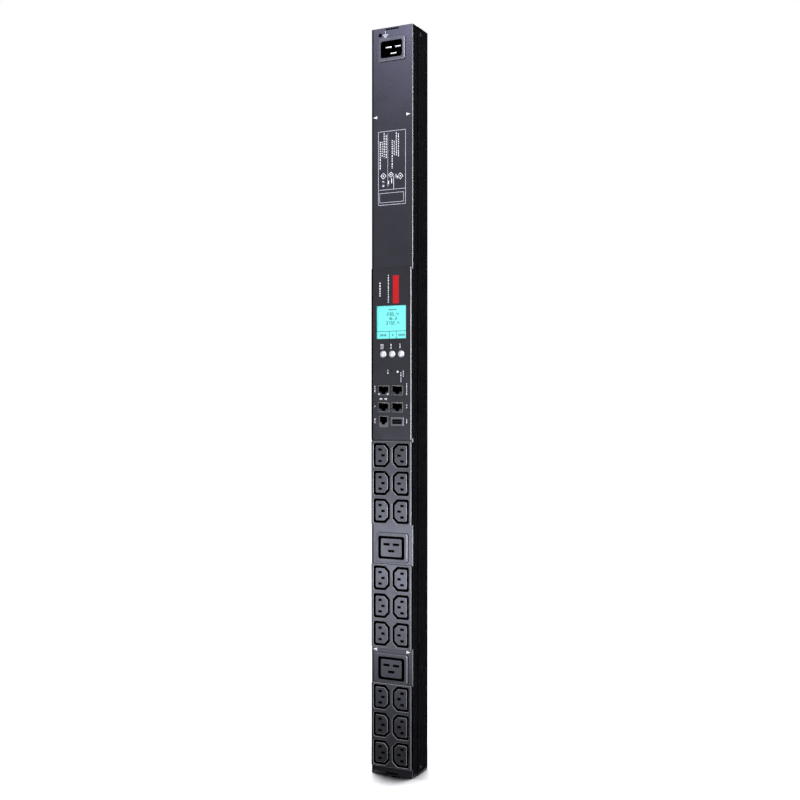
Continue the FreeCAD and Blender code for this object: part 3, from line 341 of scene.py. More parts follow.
def moulded(name, colour, roughness, grain_depth=GRAIN_DEPTH, bevel_highlight=None, highlight_right_only=False,
            shaded_mouth=None, left=None, shaded_walls=False, gloss=0.5, metallic=0.0):
    """Moulded plastic: fine grain, smooth bevels with painted highlights, and painted black shade
    in mouths, walls, a left strip.
    """
    finish, shader = new_finish(name, colour, roughness, metallic, gloss)
    shader.inputs["Specular Tint"].default_value = (*COOL_GLOSS, 1.0)
    links = finish.node_tree.links
    grain = pattern(finish, NOISE, GRAIN_SCALE)
    drift = pattern(finish, NOISE, PLASTIC_DRIFT_SCALE)
    rough = blend_range(finish, drift.outputs["Fac"], roughness - PLASTIC_SMOOTHER,
                        roughness + PLASTIC_ROUGHER)
    links.new(rough, shader.inputs["Roughness"])
    tone = blend_colour(finish, grain.outputs["Fac"], colour, toned(colour, PLASTIC_PALER))
    smooth = None
    # Painted highlight: a pale tone on the bevels.
    if bevel_highlight:
        smooth = painted_bevel_highlight(finish, highlight_right_only)
        tone = blend_colour(finish, smooth, tone, bevel_highlight)
    # Painted shade: black in the mouths, on a strip along the left edge and on the walls.
    dark = [painted_mouth_shade(finish, shaded_mouth)] if shaded_mouth else []
    if left:
        dark.append(painted_left_shade(finish, *left))
    if shaded_walls:
        dark.append(painted_wall_shade(finish))
    if dark:
        black = dark[0]
        for mask in dark[1:]:
            black = work_out(finish, "MAXIMUM", black, mask)
        tone = blend_colour(finish, black, tone, PAINTED_SHADE_BLACK)
        links.new(black, shader.inputs["Metallic"])
    links.new(tone, shader.inputs["Base Color"])
    add_grain(finish, shader, grain.outputs["Fac"], grain_depth, GRAIN_STRENGTH, smooth)
    return finish


def metal(name, colour, roughness, stretch, tip=None):
    """Drawn or stamped metal: fine lines along the way it was worked, and painted black shade
    behind a pin's tip.
    """
    finish, shader = new_finish(name, colour, roughness, 1.0)
    links = finish.node_tree.links
    lines = pattern(finish, NOISE, METAL_LINE_SCALE, stretch)
    rough = blend_range(finish, lines.outputs["Fac"], roughness - METAL_SMOOTHER,
                        roughness + METAL_ROUGHER)
    links.new(rough, shader.inputs["Roughness"])
    tone = blend_colour(finish, lines.outputs["Fac"], colour, toned(colour, METAL_DARKER))
    # Painted shade: black on a pin behind its tip.
    if tip:
        tone = blend_colour(finish, painted_mouth_shade(finish, tip), tone, PAINTED_SHADE_BLACK)
    links.new(tone, shader.inputs["Base Color"])
    add_grain(finish, shader, lines.outputs["Fac"], FINE_DEPTH, GRAIN_STRENGTH)
    return finish


def printed(name, colour):
    """Screen-printed ink: matt, a little uneven."""
    finish, shader = new_finish(name, colour, INK_ROUGHNESS, gloss=INK_GLOSS)
    uneven = pattern(finish, NOISE, INK_SCALE)
    mixed = blend_colour(finish, uneven.outputs["Fac"], colour, toned(colour, INK_DARKER))
    finish.node_tree.links.new(mixed, shader.inputs["Base Color"])
    return finish


def lit_screen():
    """Backlit display: an even pale cyan glow broken by a fine grid of cells."""
    finish, shader = new_finish("lit_screen", (0.03, 0.16, 0.15), 0.35)
    cells = bricks(finish, CELL_SCALE, (0.2, 1.0, 0.97), (0.2, 0.98, 0.95), (0.17, 0.9, 0.87))
    cells.offset = 0.0
    cells.inputs["Mortar Size"].default_value = 0.03
    finish.node_tree.links.new(cells.outputs["Color"], shader.inputs["Emission Color"])
    shader.inputs["Emission Strength"].default_value = 0.72
    return finish


def clear_cover():
    """Clear window with a hard coat, which bends light so little that its edges don't mirror."""
    finish, shader = new_finish("clear_cover", (0.97, 1.0, 1.0), 0.04)
    shader.inputs["Transmission Weight"].default_value = 1.0
    shader.inputs["IOR"].default_value = 1.05
    shader.inputs["Coat Weight"].default_value = 0.4
    shader.inputs["Coat Roughness"].default_value = 0.04
    return finish


def circuit_board():
    """Green solder mask over a rectangular pattern of tracks."""
    finish, shader = new_finish("circuit_board", (0.02, 0.14, 0.05), 0.35)
    tracks = bricks(finish, TRACK_SCALE, (0.015, 0.12, 0.04), (0.02, 0.15, 0.06), (0.06, 0.26, 0.1))
    finish.node_tree.links.new(tracks.outputs["Color"], shader.inputs["Base Color"])
    add_grain(finish, shader, tracks.outputs["Fac"], TRACK_DEPTH, TRACK_STRENGTH)
    return finish


def insulation(name, colour, stripe=None):
    """Wire insulation, with bands of a second colour along an earth wire."""
    finish, shader = new_finish(name, colour, 0.4)
    if stripe:
        wave = pattern(finish, "ShaderNodeTexWave", WIRE_BAND_SCALE)
        wave.wave_type = "BANDS"
        wave.bands_direction = "Z"
        bands = blend_range(finish, wave.outputs["Fac"], 0.0, 1.0)
        tone = blend_colour(finish, bands, colour, stripe)
    else:
        drift = pattern(finish, NOISE, WIRE_DRIFT_SCALE)
        tone = blend_colour(finish, drift.outputs["Fac"], colour, toned(colour, WIRE_DARKER))
    finish.node_tree.links.new(tone, shader.inputs["Base Color"])
    return finish


# Finishes: the unit's own


case_low, case_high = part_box("front_channel")
FRONT_FACE = case_low.y / MM
FRONT_HALF = case_high.x / MM
PANEL_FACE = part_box("control_bezel")[0].y / MM
PANEL_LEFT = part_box("control_bezel")[0].x / MM
OUTLET_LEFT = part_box("outlet_block_upper")[0].x / MM
INLET_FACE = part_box("inlet_body")[0].y / MM
JACK_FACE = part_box("network_jack")[0].y / MM
PIN_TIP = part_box("inlet_line_pin")[0].y / MM
CASE_BLACK = (0.0038, 0.0038, 0.0045)

CASE_COAT = coated("case_coat", CASE_BLACK, 0.24, 0.31, shaded_lips=True)
BENT_COAT = coated("bent_coat", CASE_BLACK, 0.24, 0.31, (FRONT_HALF, FRONT_FACE, BEND_RADIUS))
BLACK_SCREW = coated("black_screw", (0.006, 0.006, 0.007), 0.4, 0.5, gloss=0.25)
# Painted shade: the panel and outlets are black along a strip at their left edge.
PANEL_PLASTIC = moulded("panel_plastic", (0.004, 0.004, 0.0042), 0.27, bevel_highlight=PANEL_EDGE_HIGHLIGHT,
                        highlight_right_only=True, left=(PANEL_LEFT, LEFT_SHADE_WIDTH), gloss=0.44)
OUTLET_PLASTIC = moulded("outlet_plastic", (0.007, 0.007, 0.0075), 0.3, bevel_highlight=EDGE_HIGHLIGHT,
                         shaded_mouth=PANEL_FACE, left=(OUTLET_LEFT, OUTLET_SHADE_WIDTH))
# Painted shade: the inlet's walls and mouth are black.
INLET_PLASTIC = moulded("inlet_plastic", (0.03, 0.03, 0.033), 0.3, bevel_highlight=EDGE_HIGHLIGHT,
                        shaded_mouth=INLET_FACE, shaded_walls=True)
JACK_PLASTIC = moulded("jack_plastic", (0.007, 0.007, 0.008), 0.3, bevel_highlight=JACK_EDGE_HIGHLIGHT, shaded_mouth=JACK_FACE)
PORT_PLASTIC = moulded("port_plastic", (0.045, 0.045, 0.047), 0.35, bevel_highlight=EDGE_HIGHLIGHT,
                       shaded_mouth=JACK_FACE)
INNER_PLASTIC = moulded("inner_plastic", (0.02, 0.02, 0.022), 0.5)
TONGUE_PLASTIC = moulded("tongue_plastic", (0.004, 0.004, 0.0045), 0.6, gloss=0.1)
BUTTON_PLASTIC = moulded("button_plastic", (0.36, 0.36, 0.385), 0.36, FINE_DEPTH, metallic=0.5)
WHITE_PLASTIC = moulded("white_plastic", (0.75, 0.75, 0.73), 0.45)
LIGHT_PLASTIC = moulded("light_plastic", (0.5, 0.54, 0.52), 0.25, FINE_DEPTH)
PLATED_STEEL = metal("plated_steel", (0.62, 0.62, 0.6), 0.3, (1.0, 0.1, 1.0))
NICKEL_PIN = metal("nickel_pin", (0.5, 0.5, 0.49), 0.35, (1.0, 0.08, 1.0), PIN_TIP)
# Brass darkened as painted shade: its contacts and strips sit deep inside the outlet blocks.
SHADED_BRASS = metal("brass_in_painted_shade", (0.1, 0.085, 0.055), 0.5, (1.0, 1.0, 0.1))
CONTACT_GILT = metal("contact_gilt", (0.3, 0.29, 0.26), 0.4, (1.0, 0.1, 1.0))
WHITE_INK = printed("white_ink", (0.66, 0.66, 0.68))
GREY_INK = printed("grey_ink", (0.56, 0.56, 0.6))
SMALL_INK = printed("small_ink", (0.8, 0.8, 0.82))
RED_INK = printed("red_ink", (0.36, 0.003, 0.005))
SCREEN_INK = printed("screen_ink", (0.004, 0.09, 0.09))
LIT_SCREEN = lit_screen()
CLEAR_COVER = clear_cover()
CIRCUIT_BOARD = circuit_board()
BROWN_WIRE = insulation("brown_wire", (0.12, 0.045, 0.018))
BLUE_WIRE = insulation("blue_wire", (0.02, 0.06, 0.3))
EARTH_WIRE = insulation("earth_wire_stripe", (0.02, 0.25, 0.03), (0.7, 0.6, 0.02))

NODE_FINISHES = {
    CASE_COAT: ["rear_channel", "top_end_cap", "bottom_end_cap", "earth_nut"],
    BENT_COAT: ["front_channel"],
    BLACK_SCREW: ["cover_screws"],
    PANEL_PLASTIC: ["control_bezel"],
    OUTLET_PLASTIC: ["outlet_block_upper", "outlet_block_middle", "outlet_block_lower",
                     "large_outlet_upper", "large_outlet_lower"],
    INLET_PLASTIC: ["inlet_body"],
    JACK_PLASTIC: ["network_jack", "sensor_jack", "link_in_jack", "link_out_jack"],
    PORT_PLASTIC: ["serial_jack", "usb_port"],
    INNER_PLASTIC: ["reset_plunger", "key_switches", "current_sensor", "power_converter",
                    "outlet_cover_upper", "outlet_cover_middle", "outlet_cover_lower"],
    TONGUE_PLASTIC: ["usb_tongue"],
    BUTTON_PLASTIC: ["menu_button", "scroll_button", "select_button"],
    WHITE_PLASTIC: ["display_holder", "metering_standoffs"],
    LIGHT_PLASTIC: ["status_light_pipe"],
    PLATED_STEEL: ["mounting_pegs"],
    NICKEL_PIN: ["inlet_line_pin", "inlet_neutral_pin", "inlet_earth_pin"],
    SHADED_BRASS: ["large_contacts_upper", "large_contacts_lower"],
    LIT_SCREEN: ["display_panel"],
    CLEAR_COVER: ["display_window"],
    CIRCUIT_BOARD: ["control_board", "metering_board"],
    BROWN_WIRE: ["line_wire"],
    BLUE_WIRE: ["neutral_wire"],
    EARTH_WIRE: ["earth_wire"],
}
for pole in ("line", "neutral", "earth"):
    for level in ("upper", "middle", "lower"):
        NODE_FINISHES[SHADED_BRASS].append(f"{pole}_strip_{level}")


def dress_nodes():
    """Give every solid its finish."""
    for finish, names in NODE_FINISHES.items():
        for name in names:
            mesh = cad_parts[name].data
            mesh.materials.clear()
            mesh.materials.append(finish)


# Repeated pieces: copies of one model set out on points by a node tree


SPOT_SIZE = "spot_size"
SPOT_TURN = "spot_turn"


def copies_tree(name, model=None):
    """A tree that sets a model, or else a cube, on each point, with the point's size and turn."""
    tree = bpy.data.node_groups.new(name, "GeometryNodeTree")
    tree.interface.new_socket("Points", in_out="INPUT", socket_type="NodeSocketGeometry")
    finish = tree.interface.new_socket("Finish", in_out="INPUT", socket_type="NodeSocketMaterial")
    tree.interface.new_socket("Copies", in_out="OUTPUT", socket_type="NodeSocketGeometry")
    nodes = tree.nodes
    links = tree.links
    inside = nodes.new("NodeGroupInput")
    outside = nodes.new("NodeGroupOutput")
    spread = nodes.new("GeometryNodeInstanceOnPoints")
    if model:
        shape = nodes.new("GeometryNodeObjectInfo")
        shape.inputs["Object"].default_value = model
        links.new(shape.outputs["Geometry"], spread.inputs["Instance"])
    else:
        shape = nodes.new("GeometryNodeMeshCube")
        shape.inputs["Size"].default_value = (1.0, 1.0, 1.0)
        links.new(shape.outputs["Mesh"], spread.inputs["Instance"])
    for attribute, socket in ((SPOT_SIZE, "Scale"), (SPOT_TURN, "Rotation")):
        own = nodes.new("GeometryNodeInputNamedAttribute")
        own.data_type = "FLOAT_VECTOR"
        own.inputs["Name"].default_value = attribute
        links.new(own.outputs["Attribute"], spread.inputs[socket])
    solid = nodes.new("GeometryNodeRealizeInstances")
    paint = nodes.new("GeometryNodeSetMaterial")
    links.new(inside.outputs["Points"], spread.inputs["Points"])
    links.new(spread.outputs["Instances"], solid.inputs["Geometry"])
    links.new(solid.outputs["Geometry"], paint.inputs["Geometry"])
    links.new(inside.outputs["Finish"], paint.inputs["Material"])
    links.new(paint.outputs["Geometry"], outside.inputs["Copies"])
    return tree, finish.identifier


BAR_COPIES = copies_tree("printed_bars")


def settle(piece, name, body):
    """Turn a piece with live modifiers into a plain mesh piece that rides on a body."""
    graph = bpy.context.evaluated_depsgraph_get()
    mesh = bpy.data.meshes.new_from_object(piece.evaluated_get(graph))
    bpy.data.objects.remove(piece)
    mesh.name = name
    plain = add_object(name, mesh)
    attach(plain, body)
    return plain


def set_copies(name, copies, spots, finish):
    """Copies of a model as one piece. A spot is (place, size, turn) in metres and radians."""
    tree, finish_socket = copies
    mesh = bpy.data.meshes.new(name + "_points")
    mesh.from_pydata([place for place, size, turn in spots], [], [])
    sizes = mesh.attributes.new(SPOT_SIZE, "FLOAT_VECTOR", "POINT")
    turns = mesh.attributes.new(SPOT_TURN, "FLOAT_VECTOR", "POINT")
    for index, (place, size, turn) in enumerate(spots):
        sizes.data[index].vector = size
        turns.data[index].vector = turn
    points = add_object(name + "_points", mesh)
    modifier = points.modifiers.new("copies", "NODES")
    modifier.node_group = tree
    modifier[finish_socket] = finish
    return settle(points, name, UNIT)


def set_bars(name, bars, finish):
    """Small bars as one piece. A bar is (centre, size, turn) in millimetres and degrees."""
    spots = []
    for centre, size, turn in bars:
        angles = [math.radians(angle) for angle in turn]
        spots.append((Vector(centre) * MM, Vector(size) * MM, angles))
    set_copies(name, BAR_COPIES, spots, finish)


# Printed marks


def print_bars(name, marks, face, ink):
    """Printed bars on a plane at depth face. A mark is (x, z, width, height, turn in degrees)."""
    bars = []
    for x, z, width, height, turn in marks:
        bars.append(((x, face - INK / 2, z), (width, INK, height), (0.0, turn, 0.0)))
    set_bars(name, bars, ink)


DASH_LENGTHS = (1.2, 2.6)
DASH_GAPS = (0.9, 1.4)


def dash_columns(columns, seed):
    """Broken bars in place of lines of small print. A column is (x, top, bottom, width)."""
    chance = random.Random(seed)
    bars = []
    for x, top, bottom, width in columns:
        z = top
        while z > bottom:
            length = min(chance.uniform(*DASH_LENGTHS), z - bottom)
            bars.append((x, z - length / 2, width, length, 0.0))
            z -= length + chance.uniform(*DASH_GAPS)
    return bars


def box_lines(left, right, bottom, top, line):
    """Four bars round a rectangle."""
    middle_x = (left + right) / 2
    middle_z = (bottom + top) / 2
    return [
        (middle_x, bottom, right - left + line, line, 0.0),
        (middle_x, top, right - left + line, line, 0.0),
        (left, middle_z, line, top - bottom, 0.0),
        (right, middle_z, line, top - bottom, 0.0),
    ]


DIAMOND_LINE = 0.6
DIAMOND_DOT = 1.4


def diamond_lines(x, z, side):
    """Four bars round a square that stands on its corner."""
    bars = []
    reach = side / 2 / math.sqrt(2)
    for across, up in ((-1, 1), (1, 1), (1, -1), (-1, -1)):
        turn = 45.0 if across * up > 0 else -45.0
        bars.append((x + across * reach, z + up * reach, side, DIAMOND_LINE, turn))
    return bars


# A frame is (left, right, bottom, top, line), and a bar is (x, z, width, height, turn).
RATING_FRAME = (-18.7, 18.2, 697.0, 787.0, 0.45)
RATING_FOOT = (-17.0, 15.6, 700.0, 711.4, 0.4)
RATING_RULE = (-0.3, 715.6, 36.8, 0.45, 0.0)
RATING_SEED = 7
RATING_COLUMNS = (
    (-16.2, 775.0, 740.6, 1.1), (-13.5, 775.0, 756.0, 0.8), (-10.8, 785.0, 754.6, 1.0),
    (-8.0, 782.5, 754.2, 1.0), (0.2, 775.7, 741.0, 1.1), (2.9, 774.5, 756.0, 0.8),
    (5.8, 784.6, 755.4, 1.0), (8.6, 783.0, 755.0, 1.0),
)
RATING_DIVIDERS = [(-5.9, 752.0, 0.25, 65.0, 0.0), (2.2, 724.0, 0.5, 16.0, 0.0)]
RATING_DIAMONDS = ((-11.9, 732.6, 5.0), (-1.6, 733.5, 4.6), (11.2, 731.0, 5.2))
SMALL_DIAMOND = (-11.9, 720.6, 1.8)
RATING_TICKS = [
    (5.4, 731.8, 0.7, 4.4, 0.0), (7.0, 729.8, 0.7, 3.0, 0.0), (-11.9, 725.6, 2.6, 0.9, 30.0),
    (-4.8, 724.2, 1.2, 4.0, 0.0), (-0.6, 726.0, 1.0, 6.0, 0.0),
]


def print_rating_field():
    """The framed field near the top: a frame, a box at its foot, and plain dashes and diamonds."""
    frame_bars = [*box_lines(*RATING_FRAME), *box_lines(*RATING_FOOT), RATING_RULE]
    print_bars("rating_frame", frame_bars, FRONT_FACE, GREY_INK)
    dashes = dash_columns(RATING_COLUMNS, RATING_SEED) + RATING_DIVIDERS
    for x, z, side in RATING_DIAMONDS:
        dashes += diamond_lines(x, z, side)
        dashes.append((x, z, DIAMOND_DOT, DIAMOND_DOT, 45.0))
    dashes += diamond_lines(*SMALL_DIAMOND)
    dashes += RATING_TICKS
    print_bars("rating_dashes", dashes, FRONT_FACE, SMALL_INK)


EARTH_SIGN = (
    (-9.0, 907.8, 0.5, 4.4, 0.0), (-9.0, 905.2, 7.2, 0.8, 0.0),
    (-9.0, 903.7, 4.8, 0.8, 0.0), (-9.0, 902.2, 2.4, 0.8, 0.0),
)


def print_earth_sign():
    """The earth sign beside the bonding hole."""
    print_bars("earth_sign", EARTH_SIGN, FRONT_FACE, WHITE_INK)


# Beside the red bar, above the buttons, round the reset hole, and beside the jacks and ports.
PANEL_SEED = 11
PANEL_COLUMNS = (
    (-15.0, 602.0, 585.0, 1.5), (-3.6, 611.0, 577.0, 1.1),
    (-13.4, 526.5, 520.6, 1.0), (-11.0, 526.5, 520.6, 1.0),
    (0.0, 526.5, 520.6, 1.0), (12.2, 526.5, 520.6, 1.0),
    (-4.2, 495.0, 489.6, 0.9), (13.4, 491.8, 480.0, 0.9), (16.6, 493.8, 486.0, 0.9),
    (-22.0, 475.5, 466.5, 0.9), (21.2, 478.5, 463.5, 0.9), (-22.0, 451.2, 448.8, 0.9),
    (21.2, 452.6, 448.4, 0.9), (-22.0, 435.6, 429.2, 0.9), (21.2, 435.0, 429.6, 0.9),
)
LINK_CAPTIONS = [
    (-14.6, 459.6, 1.2, 1.8, 0.0), (-12.6, 459.6, 1.2, 1.8, 0.0),
    (-8.0, 459.6, 1.2, 1.8, 0.0), (-6.2, 459.6, 1.2, 1.8, 0.0),
]
PANEL_STRIPE = (6.6, 593.0, 8.0, 34.0, 0.0)


def print_panel_labels():
    """Short dashes on the panel where it has its captions, and a plain red bar."""
    bars = dash_columns(PANEL_COLUMNS, PANEL_SEED) + LINK_CAPTIONS
    print_bars("panel_labels", bars, PANEL_FACE, WHITE_INK)
    print_bars("panel_stripe", [PANEL_STRIPE], PANEL_FACE, RED_INK)


SEGMENTS = {
    "top": (0.0, 1.0, True), "middle": (0.0, 0.0, True), "bottom": (0.0, -1.0, True),
    "upper_left": (-1.0, 0.5, False), "upper_right": (1.0, 0.5, False),
    "lower_left": (-1.0, -0.5, False), "lower_right": (1.0, -0.5, False),
}
DIGITS = {
    "0": "top bottom upper_left upper_right lower_left lower_right",
    "1": "upper_right lower_right",
    "2": "top middle bottom upper_right lower_left",
    "3": "top middle bottom upper_right lower_right",
    "4": "middle upper_left upper_right lower_right",
    "6": "top middle bottom upper_left lower_left lower_right",
    "7": "top upper_right lower_right",
}
DIGIT_WIDTH = 1.9
DIGIT_HEIGHT = 3.4
POINT_SHARE = 1.4
SCREEN_MIDDLE = 0.4

# A reading is (figures, height on the unit, step between figures, line width).
SCREEN_READINGS = (
    ("230.4", 563.2, 3.3, 0.75),
    ("16.2", 557.8, 3.3, 0.75),
    ("3732.4", 552.4, 3.1, 0.7),
)
TITLE_HEIGHT = 568.6
TITLE_DOT = 1.5
TITLE_SHIFTS = (-4.4, -2.2, 0.0, 2.2, 4.4)
KEY_ROW = 537.6
KEY_DASH = (1.4, 2.6)
KEY_DASHES = (-15.6, -13.4, -11.2, -9.0, 0.8, 9.2, 11.4, 13.6, 15.8)
SCREEN_RULES = [
    (0.0, 542.4, 40.0, 0.7, 0.0), (-4.0, KEY_ROW, 0.7, 9.4, 0.0), (5.4, KEY_ROW, 0.7, 9.4, 0.0),
]


def digit_bars(figure, x, z, line):
    """The bars of one seven-part figure."""
    bars = []
    for part in DIGITS[figure].split():
        across, up, flat = SEGMENTS[part]
        size = (DIGIT_WIDTH, line) if flat else (line, DIGIT_HEIGHT / 2)
        bars.append((x + across * DIGIT_WIDTH / 2, z + up * DIGIT_HEIGHT / 2, *size, 0.0))
    return bars


def number_bars(text, z, step, line):
    """A line of figures round the display's middle, with a point as a short bar."""
    bars = []
    x = SCREEN_MIDDLE - step * (len(text) - 1) / 2
    for figure in text:
        if figure == ".":
            bars.append((x, z - DIGIT_HEIGHT / 2, line * POINT_SHARE, line * POINT_SHARE, 0.0))
        else:
            bars += digit_bars(figure, x, z, line)
        x += step
    return bars


def print_screen_marks():
    """Plain readings on the display, and the ruled row of key captions under them."""
    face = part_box("display_panel")[0].y / MM
    bars = []
    for reading in SCREEN_READINGS:
        bars += number_bars(*reading)
    for shift in TITLE_SHIFTS:
        bars.append((SCREEN_MIDDLE + shift, TITLE_HEIGHT, TITLE_DOT, TITLE_DOT, 0.0))
    bars += SCREEN_RULES
    bars += [(x, KEY_ROW, *KEY_DASH, 0.0) for x in KEY_DASHES]
    print_bars("screen_marks", bars, face, SCREEN_INK)


# Small plates and contacts


def close_mesh(name, build, finish=None):
    """The mesh of a finished build, with its faces turned outwards."""
    bmesh.ops.recalc_face_normals(build, faces=build.faces)
    mesh = bpy.data.meshes.new(name)
    build.to_mesh(mesh)
    build.free()
    if finish:
        mesh.materials.append(finish)
    return mesh


def flat_shape(name, outlines, face, thickness, finish):
    """Thin plates with the given outlines in x and z, their backs on the plane at depth face."""
    build = bmesh.new()
    for outline in outlines:
        corners = [build.verts.new((x * MM, face * MM, z * MM)) for x, z in outline]
        plate = build.faces.new(corners)
        grown = bmesh.ops.extrude_face_region(build, geom=[plate])
        moved = [item for item in grown["geom"] if isinstance(item, bmesh.types.BMVert)]
        bmesh.ops.translate(build, verts=moved, vec=(0.0, -thickness * MM, 0.0))
    piece = add_object(name, close_mesh(name, build, finish))
    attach(piece, UNIT)


ARROW_MIDDLE = -0.6
ARROW_REACH = 25.5
ARROW_LENGTH = 5.6
ARROW_HALF = 1.8
PEG_HEIGHTS = (805.2, 152.4)


def print_peg_arrows():
    """White arrow heads on the front that point outwards at the height of each peg."""
    shapes = []
    for z in PEG_HEIGHTS:
        for side in (-1, 1):
            tip = ARROW_MIDDLE + ARROW_REACH * side
            back = tip - ARROW_LENGTH * side
            shapes.append([(tip, z), (back, z + ARROW_HALF), (back, z - ARROW_HALF)])
    flat_shape("peg_arrows", shapes, FRONT_FACE, INK, WHITE_INK)


# Link lights, from the left, right and bottom of the jack.
LIGHT_FROM_LEFT = 0.6
LIGHT_FROM_RIGHT = 2.8
LIGHT_WIDTH = 1.9
LIGHT_BOTTOM = 0.7
LIGHT_TOP = 2.0
LIGHT_THICKNESS = 0.15


def fit_link_lights():
    """Two small light windows in the lower corners of the network jack."""
    low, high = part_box("network_jack")
    bottom = low.z / MM + LIGHT_BOTTOM
    top = low.z / MM + LIGHT_TOP
    shapes = []
    for start in (low.x / MM + LIGHT_FROM_LEFT, high.x / MM - LIGHT_FROM_RIGHT):
        end = start + LIGHT_WIDTH
        shapes.append([(start, bottom), (end, bottom), (end, top), (start, top)])
    flat_shape("link_lights", shapes, JACK_FACE, LIGHT_THICKNESS, LIGHT_PLASTIC)


JACK_ROOF = 1.0
JACK_DEPTH = 13.0
CONTACT_PITCH = 1.02
CONTACT_SIZE = 0.5
CONTACT_LENGTH = 9.0
CONTACT_COUNTS = {
    "network_jack": 8, "sensor_jack": 8, "link_in_jack": 8, "link_out_jack": 8, "serial_jack": 6,
}


def fit_jack_contacts():
    """Gilt contact wires under the roof of each modular jack."""
    bars = []
    for name, count in CONTACT_COUNTS.items():
        low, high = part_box(name)
        middle = (low.x + high.x) / 2 / MM
        roof = high.z / MM - JACK_ROOF
        back = low.y / MM + JACK_DEPTH
        for index in range(count):
            x = middle + (index - (count - 1) / 2) * CONTACT_PITCH
            centre = (x, back - CONTACT_LENGTH / 2, roof - CONTACT_SIZE / 2)
            bars.append((centre, (CONTACT_SIZE, CONTACT_LENGTH, CONTACT_SIZE), (0.0, 0.0, 0.0)))
    set_bars("jack_contacts", bars, CONTACT_GILT)


# Turned shapes: push buttons and screws


def turned(build, profile, count, place):
    """Rings of points round an axis, joined by faces. A profile point is (radius, way along)."""
    rings = []
    for radius, along in profile:
        ring = []
        for index in range(count):
            angle = 2 * math.pi * index / count
            spot = place(radius * math.cos(angle), radius * math.sin(angle), along)
            ring.append(build.verts.new(Vector(spot) * MM))
        rings.append(ring)
    for lower, upper in zip(rings, rings[1:]):
        for index in range(count):
            after = (index + 1) % count
            face = build.faces.new((lower[index], lower[after], upper[after], upper[index]))
            face.smooth = True
    return rings


def block(build, centre, size):
    """A plain block round a centre."""
    made = bmesh.ops.create_cube(build, size=1.0)
    bmesh.ops.scale(build, verts=made["verts"], vec=Vector(size) * MM)
    bmesh.ops.translate(build, verts=made["verts"], vec=Vector(centre) * MM)


BUTTON_RADIUS = 4.2
BUTTON_CROWN = 1.9
BUTTON_RIM = 0.2
BUTTON_SIDES = 48
DOME_STEPS = 14
COLLAR_DEPTH = 4.35
COLLAR_THICKNESS = 1.0
COLLAR_SIZE = 10.0
PLUNGER_SIZE = 3.4


def dome_profile():
    """Radius and depth of a domed key cap, from its collar to near its top."""
    sphere = (BUTTON_RADIUS ** 2 + BUTTON_CROWN ** 2) / (2 * BUTTON_CROWN)
    points = [(BUTTON_RADIUS, COLLAR_DEPTH), (BUTTON_RADIUS, BUTTON_CROWN + BUTTON_RIM)]
    for step in range(DOME_STEPS):
        radius = BUTTON_RADIUS * (1 - step / DOME_STEPS)
        points.append((radius, sphere - math.sqrt(sphere ** 2 - radius ** 2)))
    return points


def fit_buttons():
    """Domed push buttons, each with its collar behind the panel and its plunger."""
    for name in ("menu_button", "scroll_button", "select_button"):
        low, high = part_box(name)
        middle = (low + high) / 2 / MM
        front = low.y / MM
        end = high.y / MM
        build = bmesh.new()
        rings = turned(build, dome_profile(), BUTTON_SIDES,
                       lambda a, b, depth: (middle.x + a, front + depth, middle.z + b))
        build.faces.new(rings[0])
        top = build.faces.new(rings[-1])
        top.smooth = True
        collar = front + COLLAR_DEPTH + COLLAR_THICKNESS / 2
        block(build, (middle.x, collar, middle.z), (COLLAR_SIZE, COLLAR_THICKNESS, COLLAR_SIZE))
        start = front + COLLAR_DEPTH + COLLAR_THICKNESS
        plunger = (start + end) / 2
        block(build, (middle.x, plunger, middle.z), (PLUNGER_SIZE, end - start, PLUNGER_SIZE))
        piece = add_object(name + "_dome", close_mesh(name + "_dome", build, BUTTON_PLASTIC))
        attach(piece, name + "_body")
        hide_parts(name)


HEAD_TOP = 1.3
HEAD_RADIUS = 2.8
SCREW_PROFILE = (
    (1.5, -6.0), (1.5, 0.0), (HEAD_RADIUS, 0.0), (HEAD_RADIUS, 0.45),
    (2.62, 0.85), (2.2, 1.15), (1.75, HEAD_TOP),
)
SCREW_SIDES = 32
SCREW_ROLL = 0.4
CROSS_ARM = 1.25
CROSS_HALF = 0.36
RECESS_FLOOR = 0.35
RECESS_TAPER = 0.6


def cross_outline(arm, half):
    """The twelve corners of a cross, in order round it."""
    return [(arm, -half), (arm, half), (half, half), (half, arm), (-half, arm), (-half, half),
            (-arm, half), (-arm, -half), (-half, -half), (-half, -arm), (half, -arm), (half, -half)]


def pan_head():
    """One pan-head screw with a cross recess, its head along +X from the seat at the origin."""
    build = bmesh.new()
    rings = turned(build, SCREW_PROFILE, SCREW_SIDES, lambda a, b, along: (along, a, b))
    build.faces.new(list(reversed(rings[0])))
    cross = cross_outline(CROSS_ARM, CROSS_HALF)
    rim = [build.verts.new((HEAD_TOP * MM, y * MM, z * MM)) for y, z in cross]
    floor = [build.verts.new((RECESS_FLOOR * MM, y * RECESS_TAPER * MM, z * RECESS_TAPER * MM))
             for y, z in cross]
    edges = []
    for loop in (rings[-1], rim):
        for index, vert in enumerate(loop):
            after = loop[(index + 1) % len(loop)]
            edges.append(build.edges.get((vert, after)) or build.edges.new((vert, after)))
    bmesh.ops.triangle_fill(build, edges=edges, use_beauty=True)
    for face in [face for face in build.faces if set(face.verts) <= set(rim)]:
        build.faces.remove(face)
    for index in range(len(cross)):
        after = (index + 1) % len(cross)
        build.faces.new((rim[index], rim[after], floor[after], floor[index]))
    build.faces.new(floor)
    return add_object("pan_head", close_mesh("pan_head", build))


